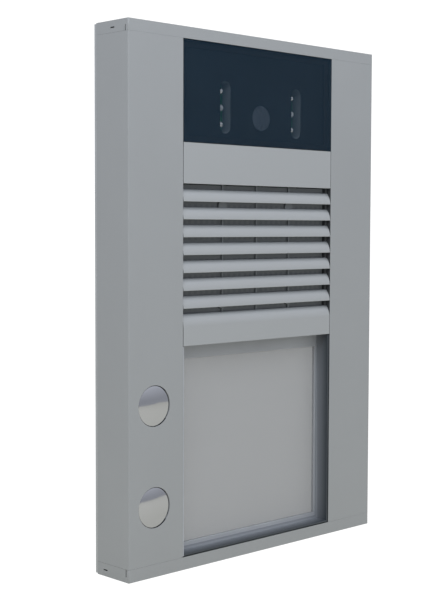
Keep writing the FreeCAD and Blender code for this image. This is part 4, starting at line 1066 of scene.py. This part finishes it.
@dataclass
class CameraModule(SubAssembly):
    """The smoked window, the lens behind it and the two rows of lamps.

    Attributes:
        pane_edge: The polished bevel round the pane.
        bezel_edge: The rounding of the bezel's and the lens barrel's edges.
        ring_step: The height of each step in the lens barrel's mouth.
        flange: How far a lamp's foot stands out beyond its dome.
    """

    pane_edge: float = 0.15 * MM
    bezel_edge: float = 0.08 * MM
    ring_step: float = 0.3 * MM
    flange: float = 0.25 * MM

    def build(self) -> None:
        """Build the module from the front inwards."""
        self.pane()
        self.bezel()
        self.shield()
        self.barrel()
        self.glass()
        for side in ("left", "right"):
            self.lamps(side)

    def pane(self) -> None:
        """Cut the pane with polished edges."""
        span = span_of("camera_window")
        piece = Bench.block("smoked_window_pane", span.low, span.high)
        Bench.soften(piece, self.pane_edge)
        Bench.mark(piece, off_front)
        self.workshop.deliver(piece, "smoked_pane", "camera_window", second="pane_inside")

    def bezel(self) -> None:
        """Soften the bezel and give the lamp slots' walls the lamp shades' finish."""
        piece = Bench.softened_copy("camera_bezel", "camera_bezel_moulding", self.bezel_edge)
        shades = [span_of(f"{side}_lamp_shade") for side in ("left", "right")]

        def in_slot(centre: Vector, normal: Vector) -> bool:
            """Tell whether a face is part of a lamp slot's wall."""
            return abs(normal.y) < 0.5 and any(
                shade.low.x < centre.x < shade.high.x and shade.low.z < centre.z < shade.high.z
                and centre.y < shade.low.y for shade in shades)

        Bench.mark(piece, in_slot)
        self.workshop.deliver(piece, "black_plastic", "camera_bezel", finish="bezel_black",
                              second="lamp_shade")

    def shield(self) -> None:
        """Turn the clear disc in the lens hole, with a bevelled rim."""
        span = span_of("camera_shield")
        radius = span.size.x / 2
        deep = span.size.y
        foot = span.front
        outline = [(0, 0), (radius - self.ring_step, 0), (radius, self.ring_step),
                   (radius, deep), (0, deep)]
        piece = Bench.turned("camera_shield_disc", foot, Axis.INTO_WALL, outline)
        Bench.mark(piece, off_front)
        Bench.shade(piece, 30)
        self.workshop.deliver(piece, "lens_glass", "camera_shield", finish="lens_shield",
                              second="pane_inside")

    def barrel(self) -> None:
        """Turn the lens barrel with a stepped mouth and a grip ring."""
        span = span_of("camera_lens_barrel")
        outer = span.size.x / 2
        seat = span_of("camera_lens_glass").size.x / 2
        deep = span.size.y
        foot = span.front
        step = self.ring_step
        outline = [(seat, deep * 0.75), (seat, step * 2), (seat + step, step * 2),
                   (seat + step, step), (outer - step / 2, 0), (outer, step / 2),
                   (outer, deep), (0, deep), (0, deep * 0.75), (seat, deep * 0.75)]
        piece = Bench.turned("camera_lens_tube", foot, Axis.INTO_WALL, outline)
        Bench.soften(piece, self.bezel_edge)
        self.workshop.deliver(piece, "black_plastic", "camera_lens_barrel", "camera_head")

    def glass(self) -> None:
        """Turn the front lens, a shallow dome."""
        span = span_of("camera_lens_glass")
        radius = span.size.x / 2
        outline = dome(radius, 0.5 * span.size.y, radius, 8)
        outline += [(radius, span.size.y), (0, span.size.y)]
        piece = Bench.turned("camera_front_lens", span.front, Axis.INTO_WALL, outline)
        Bench.shade(piece, 35)
        self.workshop.deliver(piece, "lens_glass", "camera_lens_glass", "camera_head")

    def lamps(self, side: str) -> None:
        """Turn one lamp with its dome and foot, and copy it along its row.

        Args:
            side: The row, left or right of the lens.
        """
        node = f"{side}_lamps"
        solids = spans_of_solids(node)
        first = solids[0]
        radius = first.size.x / 2
        deep = first.size.y
        foot = first.front
        turns = [math.radians(90) * step / 8 for step in range(9)]
        outline = [(radius * math.sin(turn), radius * (1 - math.cos(turn))) for turn in turns]
        rim = radius + self.flange
        outline += [(radius, deep * 0.75), (rim, deep * 0.75), (rim, deep), (0, deep)]
        lamp = Bench.turned(f"{side}_lamp", foot, Axis.INTO_WALL, outline, steps=32)
        Bench.shade(lamp, 35)
        middle, last = (Bench.copied(lamp, solid.middle - first.middle) for solid in solids[1:])
        ends = Bench.joined(f"{side}_end_lamps", [lamp, last])
        self.workshop.deliver(ends, "lamp_clear", node)
        # The middle lamp takes the dull grey finish, painted in place of its weaker glint.
        middle.name = f"{side}_middle_lamp"
        self.workshop.deliver(middle, "lamp_clear", node, finish="lamp_dim")


# ---- Speaker module ----


@dataclass
class SpeakerModule(SubAssembly):
    """The louvred grille.

    Attributes:
        edge: The rounding of the louvres' edges.
        wall: The reach of the side walls inwards from each side.
        louvre_depth: The depth of the walls' front edges.
    """

    edge: float = 0.18 * MM
    wall: float = 2.0 * MM
    louvre_depth: float = 2.0 * MM

    def build(self) -> None:
        """Soften the louvres, and give the side walls a dark colour inside and out, as painted
        shade at the slots' ends and the seams.
        """
        piece = Bench.softened_copy("speaker_grille", "louvred_grille", self.edge)
        span = span_of("speaker_grille")
        reach = span.size.x / 2 - self.wall
        louvre_back = FRONT_FACE + self.louvre_depth

        def on_wall(centre: Vector, normal: Vector) -> bool:
            """Tell whether a face belongs to a side wall."""
            sideways = abs(normal.x) > 0.7 and centre.y > FRONT_FACE + self.edge
            forwards = normal.y < -0.7 and centre.y > louvre_back
            return abs(centre.x - span.middle.x) > reach and (sideways or forwards)

        Bench.mark(piece, on_wall)
        self.workshop.deliver(piece, "silver_grille", "speaker_grille", second="dark_side")


# ---- Name plate ----


@dataclass
class NamePlate(SubAssembly):
    """The recessed frame and its clear cover.

    Attributes:
        collar: The thickness of the collar that lines the recess on three sides.
        cove: The radius of the hollow between the collar and the frame's face.
        recess: The depth of the frame's face.
        face: The thickness of the frame's face.
        wall: The thickness of the shell's walls.
        post_depth: The depth of the screw posts' front ends.
        post_length: Their length.
        post_radius: Their radius.
        pilot: The radius of the hole for a screw.
        skin: The thickness of the post's closed end.
        card_gap: The gap between the cover and the card.
        fit: The gap round the cover.
        frame_edge: The rounding of the frame's edges.
        post_edge: The rounding of the posts' edges.
        cover_edge: The rounding of the cover's edges.
    """

    collar: float = 0.8 * MM
    cove: float = 1.4 * MM
    recess: float = 7.5 * MM
    face: float = 1.8 * MM
    wall: float = 1.5 * MM
    post_depth: float = 15.6 * MM
    post_length: float = 2.9 * MM
    post_radius: float = 3.9 * MM
    pilot: float = 1.3 * MM
    skin: float = 0.2 * MM
    card_gap: float = 0.05 * MM
    fit: float = 0.05 * MM
    frame_edge: float = 0.15 * MM
    post_edge: float = 0.1 * MM
    cover_edge: float = 0.12 * MM

    def build(self) -> None:
        """Build the frame and then its cover."""
        self.frame_piece()
        self.cover()

    def frame_piece(self) -> None:
        """Shape the frame from one block: shell walls, a collar open at the top, a window."""
        span = span_of("nameplate_frame")
        window = span_of("nameplate_cover")
        face_front = FRONT_FACE + self.recess
        face_back = face_front + self.face
        piece = Bench.block("name_plate_frame", span.low, span.high)
        with Bench.editing(piece):
            Bench.pick_faces(piece, lambda centre, normal: normal.y > 0.5)
            bpy.ops.mesh.inset(thickness=self.wall)
            Bench.extrude((0, face_back - span.high.y, 0))
        left = span.low.x + self.collar
        right = span.high.x - self.collar
        bottom = span.low.z + self.collar
        beyond = self.face
        tools = (
            ((left, span.low.y - beyond, bottom), (right, face_front, span.high.z + beyond)),
            ((window.low.x - self.fit, face_front - beyond, window.low.z - self.fit),
             (window.high.x + self.fit, face_back + beyond, window.high.z + self.fit)),
        )
        for low, high in tools:
            Bench.carved(piece, Bench.block("tool", low, high))

        def on_foot(point: Vector) -> bool:
            """Tell whether a point lies where the collar meets the face."""
            gaps = (point.x - left, point.x - right, point.z - bottom)
            return abs(point.y - face_front) < NEAR and min(map(abs, gaps)) < NEAR

        with Bench.editing(piece):
            Bench.pick_edges(piece, lambda one, other: on_foot(one) and on_foot(other))
            bpy.ops.mesh.bevel(offset=self.cove, segments=8)
        Bench.soften(piece, self.frame_edge, angle=50)
        whole = Bench.joined("name_plate_frame", [piece, *self.posts()])
        for cut in (left, right):
            with Bench.editing(whole):
                Bench.pick_faces(whole, lambda centre, normal: normal.y < -0.9
                                 and centre.y < span.low.y + NEAR)
                bpy.ops.mesh.bisect(plane_co=(cut, 0, 0), plane_no=(1, 0, 0))
        # The recess's walls and cove take the painted recess shade.
        Bench.mark(whole, lambda centre, normal: centre.y < face_front
                   and (normal.x < -0.2 or normal.z > 0.2
                        or centre.x > right or centre.z < bottom))
        self.workshop.deliver(whole, "grey_plastic", "nameplate_frame", second="recess_side")

    def posts(self) -> list[Piece]:
        """Turn one screw post with its pilot hole, and copy it to each screw of the frame.

        Returns:
            The posts.
        """
        top = span_of("nameplate_frame").high.z
        screws = [screw.middle for screw in spans_of_solids("module_screws")
                  if screw.middle.z < top]
        outline = [(0, 0), (self.post_radius, 0), (self.post_radius, self.post_length),
                   (self.pilot, self.post_length), (self.pilot, self.skin), (0, self.skin)]
        foot = Vector((screws[0].x, FRONT_FACE + self.post_depth, screws[0].z))
        post = Bench.turned("name_plate_post", foot, Axis.INTO_WALL, outline, steps=32)
        Bench.soften(post, self.post_edge)
        return [post] + [Bench.copied(post, Vector((screw.x - foot.x, 0, screw.z - foot.z)))
                         for screw in screws[1:]]

    def cover(self) -> None:
        """Cut the clear cover with a polished bevel, a hair in front of the card."""
        span = span_of("nameplate_cover")
        back = span.high - Vector((0, self.card_gap, 0))
        piece = Bench.block("name_plate_cover", span.low, back)
        Bench.soften(piece, self.cover_edge)
        Bench.mark(piece, off_front)
        self.workshop.deliver(piece, "cover_clear", "nameplate_cover", second="cover_inside")


# ---- Call buttons ----


@dataclass
class CallButton(SubAssembly):
    """A polished, domed call button with its retaining flange and stem.

    Attributes:
        level: Which button, upper or lower.
        cap_radius: The radius of the part that shows.
        crown: The height of the dome over its rim.
        rim: The rounding of the rim.
        flange_depth: The depth of the flange's front, from the crown.
        flange: The flange's thickness.
        stem_radius: The stem's radius.
        guide_floor: The depth of the guide's floor, where the spring stands. Not used.
        spring_keep: The share of the spring's length that is left when the button is in. Not
            used.
    """

    level: str
    cap_radius: float = 8.8 * MM
    crown: float = 1.1 * MM
    rim: float = 0.35 * MM
    flange_depth: float = 2.75 * MM
    flange: float = 1.2 * MM
    stem_radius: float = 2.5 * MM
    guide_floor: float = 8.8 * MM
    spring_keep: float = 0.78

    def build(self) -> None:
        """Build the button and then its spring."""
        self.cap()
        self.spring()

    def spring(self) -> None:
        """Copy the return spring and give it a mesh of its own."""
        node = f"button_spring_{self.level}"
        piece = Bench.welded_copy(node, f"{self.level}_return_spring")
        Bench.shade(piece, 40)
        self.workshop.deliver(piece, "spring_steel", node)
        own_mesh(piece)

    def cap(self) -> None:
        """Turn the button: a dome, a rounded rim, the flange and the stem."""
        node = f"call_button_{self.level}"
        span = span_of(node)
        outline = dome(self.cap_radius, self.crown, self.cap_radius - self.rim, 12)
        flange_radius = span.size.x / 2
        flange_back = self.flange_depth + self.flange
        outline += [(self.cap_radius - 0.3 * self.rim, outline[-1][1] + 0.2 * self.rim),
                    (self.cap_radius, self.crown + self.rim / 2),
                    (self.cap_radius, self.flange_depth), (flange_radius, self.flange_depth),
                    (flange_radius, flange_back), (self.stem_radius, flange_back),
                    (self.stem_radius, span.size.y), (0, span.size.y)]
        piece = Bench.turned(f"{self.level}_push_cap", span.front, Axis.INTO_WALL, outline, 96)
        Bench.shade(piece, 40)
        self.workshop.deliver(piece, "button_steel", node, f"{self.level}_button")


# ---- Studio ----


@dataclass
class Studio:
    """The camera, the lights and the floor.

    Attributes:
        camera_place: Where the camera stands.
        yaw: How far the camera turns from looking along +Y, clockwise seen from above.
        pitch: How far it looks down.
        roll: How far it leans.
        lens: Its focal length in millimetres on a 36 mm sensor.
        floor_size: The side of the floor.
        low_wall: The brightness of the room at the horizon.
        high_wall: Its brightness from the height of full_rise up.
        full_rise: The height where it is full, as the sine of an angle.
        back_wall: Its brightness behind the panel.
        backdrop: The strength of the white that the camera sees round the panel.
        floor_glow: The strength of the floor's own light.
        light_size: The side of each light.
        key_power: The power of the light on the left, in watts.
        fill_power: The power of the light on the right.
    """

    camera_place: tuple[float, float, float] = (-0.4202, -0.4302, 0.0327)
    yaw: float = 43.932
    pitch: float = 3.331
    roll: float = -0.163
    lens: float = 75.2265
    floor_size: float = 1.3
    low_wall: float = 0.58
    high_wall: float = 1.0
    full_rise: float = 0.3
    back_wall: float = 0.85
    backdrop: float = 1.1
    floor_glow: float = 0.47
    light_size: float = 0.4
    key_power: float = 2.6
    fill_power: float = 0.9

    def build(self) -> None:
        """Set up the studio."""
        self.camera()
        self.floor()
        self.light("key_light", (-0.3, -0.3, 0.42), self.key_power)
        self.light("fill_light", (0.3, -0.3, 0.42), self.fill_power)
        self.surroundings()
        bpy.context.scene.view_settings.view_transform = "Standard"

    def camera(self) -> None:
        """Place the camera."""
        angles = (math.radians(90 - self.pitch), math.radians(self.roll),
                  math.radians(-self.yaw))
        bpy.ops.object.select_all(action="DESELECT")
        bpy.ops.object.camera_add(location=self.camera_place, rotation=angles)
        camera = bpy.context.object
        camera.name = "studio_camera"
        camera.data.lens = self.lens
        camera.data.sensor_width = 36.0
        camera.data.clip_start = 0.01
        bpy.context.scene.camera = camera

    def floor(self) -> None:
        """Lay the pale floor that the panel stands on."""
        bpy.ops.object.select_all(action="DESELECT")
        bpy.ops.mesh.primitive_plane_add(size=self.floor_size, location=(0, 0, CAD_BOX[0][2]))
        floor = Bench.name_new("studio_floor")
        graph = SurfaceGraph("white_floor")
        drift = graph.noise(2, 2)
        graph.set(Base_Color=graph.blend(drift, Tint(0.36, 0.35, 0.32), Tint(0.38, 0.37, 0.34)),
                  Roughness=0.9, Emission_Color=(1, 0.99, 0.83, 1),
                  Emission_Strength=self.floor_glow)
        white = graph.add("ShaderNodeEmission", {"Color": WHITE, "Strength": self.backdrop})
        graph.add("ShaderNodeOutputMaterial",
                  {"Surface": graph.split_by_ray(white, graph.surface)}, is_active_output=True)
        floor.data.materials.append(graph.material)

    def light(self, name: str, place: Sequence[float], power: float) -> None:
        """Hang a square soft light that faces the panel.

        Args:
            name: The light's name.
            place: Where it hangs.
            power: Its power in watts.
        """
        bpy.ops.object.select_all(action="DESELECT")
        turn = (-Vector(place)).to_track_quat("-Z", "Y").to_euler()
        bpy.ops.object.light_add(type="AREA", location=place, rotation=turn)
        light = bpy.context.object
        light.name = name
        light.data.shape = "SQUARE"
        light.data.size = self.light_size
        light.data.energy = power
        light.data.color = (0.93, 0.98, 1.05)
        light.visible_camera = False
        light.visible_glossy = False

    def surroundings(self) -> None:
        """Surround the panel with a soft white room, dimmer low in front than above."""
        world = bpy.data.worlds.new("studio_world")
        bpy.context.scene.world = world
        world.use_nodes = True
        graph = Graph(world.node_tree)
        world.node_tree.nodes.clear()
        place = graph.add("ShaderNodeTexCoord").outputs["Generated"]
        parts = graph.add("ShaderNodeSeparateXYZ", {"Vector": place}).outputs
        rise = graph.ramp(parts["Z"], (0, self.full_rise), (self.low_wall, self.high_wall))
        behind = graph.ramp(parts["Y"], (0.2, 0.7), (0, 1))
        light = graph.add("ShaderNodeMix", {"Factor": behind, "A": rise, "B": self.back_wall})
        room = graph.add("ShaderNodeBackground", {"Color": (0.95, 0.985, 1.07, 1),
                                                  "Strength": light.outputs["Result"]})
        white = graph.add("ShaderNodeBackground", {"Color": WHITE, "Strength": self.backdrop})
        graph.add("ShaderNodeOutputWorld", {"Surface": graph.split_by_ray(white, room)})


# ---- The whole ----


def main() -> None:
    """Build the studio and dress the panel, sub-assembly by sub-assembly."""
    logging.basicConfig(level=logging.INFO, format="%(message)s")
    workshop = Workshop()
    workshop.dress_nodes()
    parts = [
        Studio(),
        Housing(workshop),
        CameraModule(workshop),
        SpeakerModule(workshop),
        NamePlate(workshop),
        CallButton(workshop, "upper"),
        CallButton(workshop, "lower"),
        Fasteners(workshop),
    ]
    for part in parts:
        part.build()
        LOG.info("%s done", type(part).__name__)


if __name__ == "__main__":
    main()
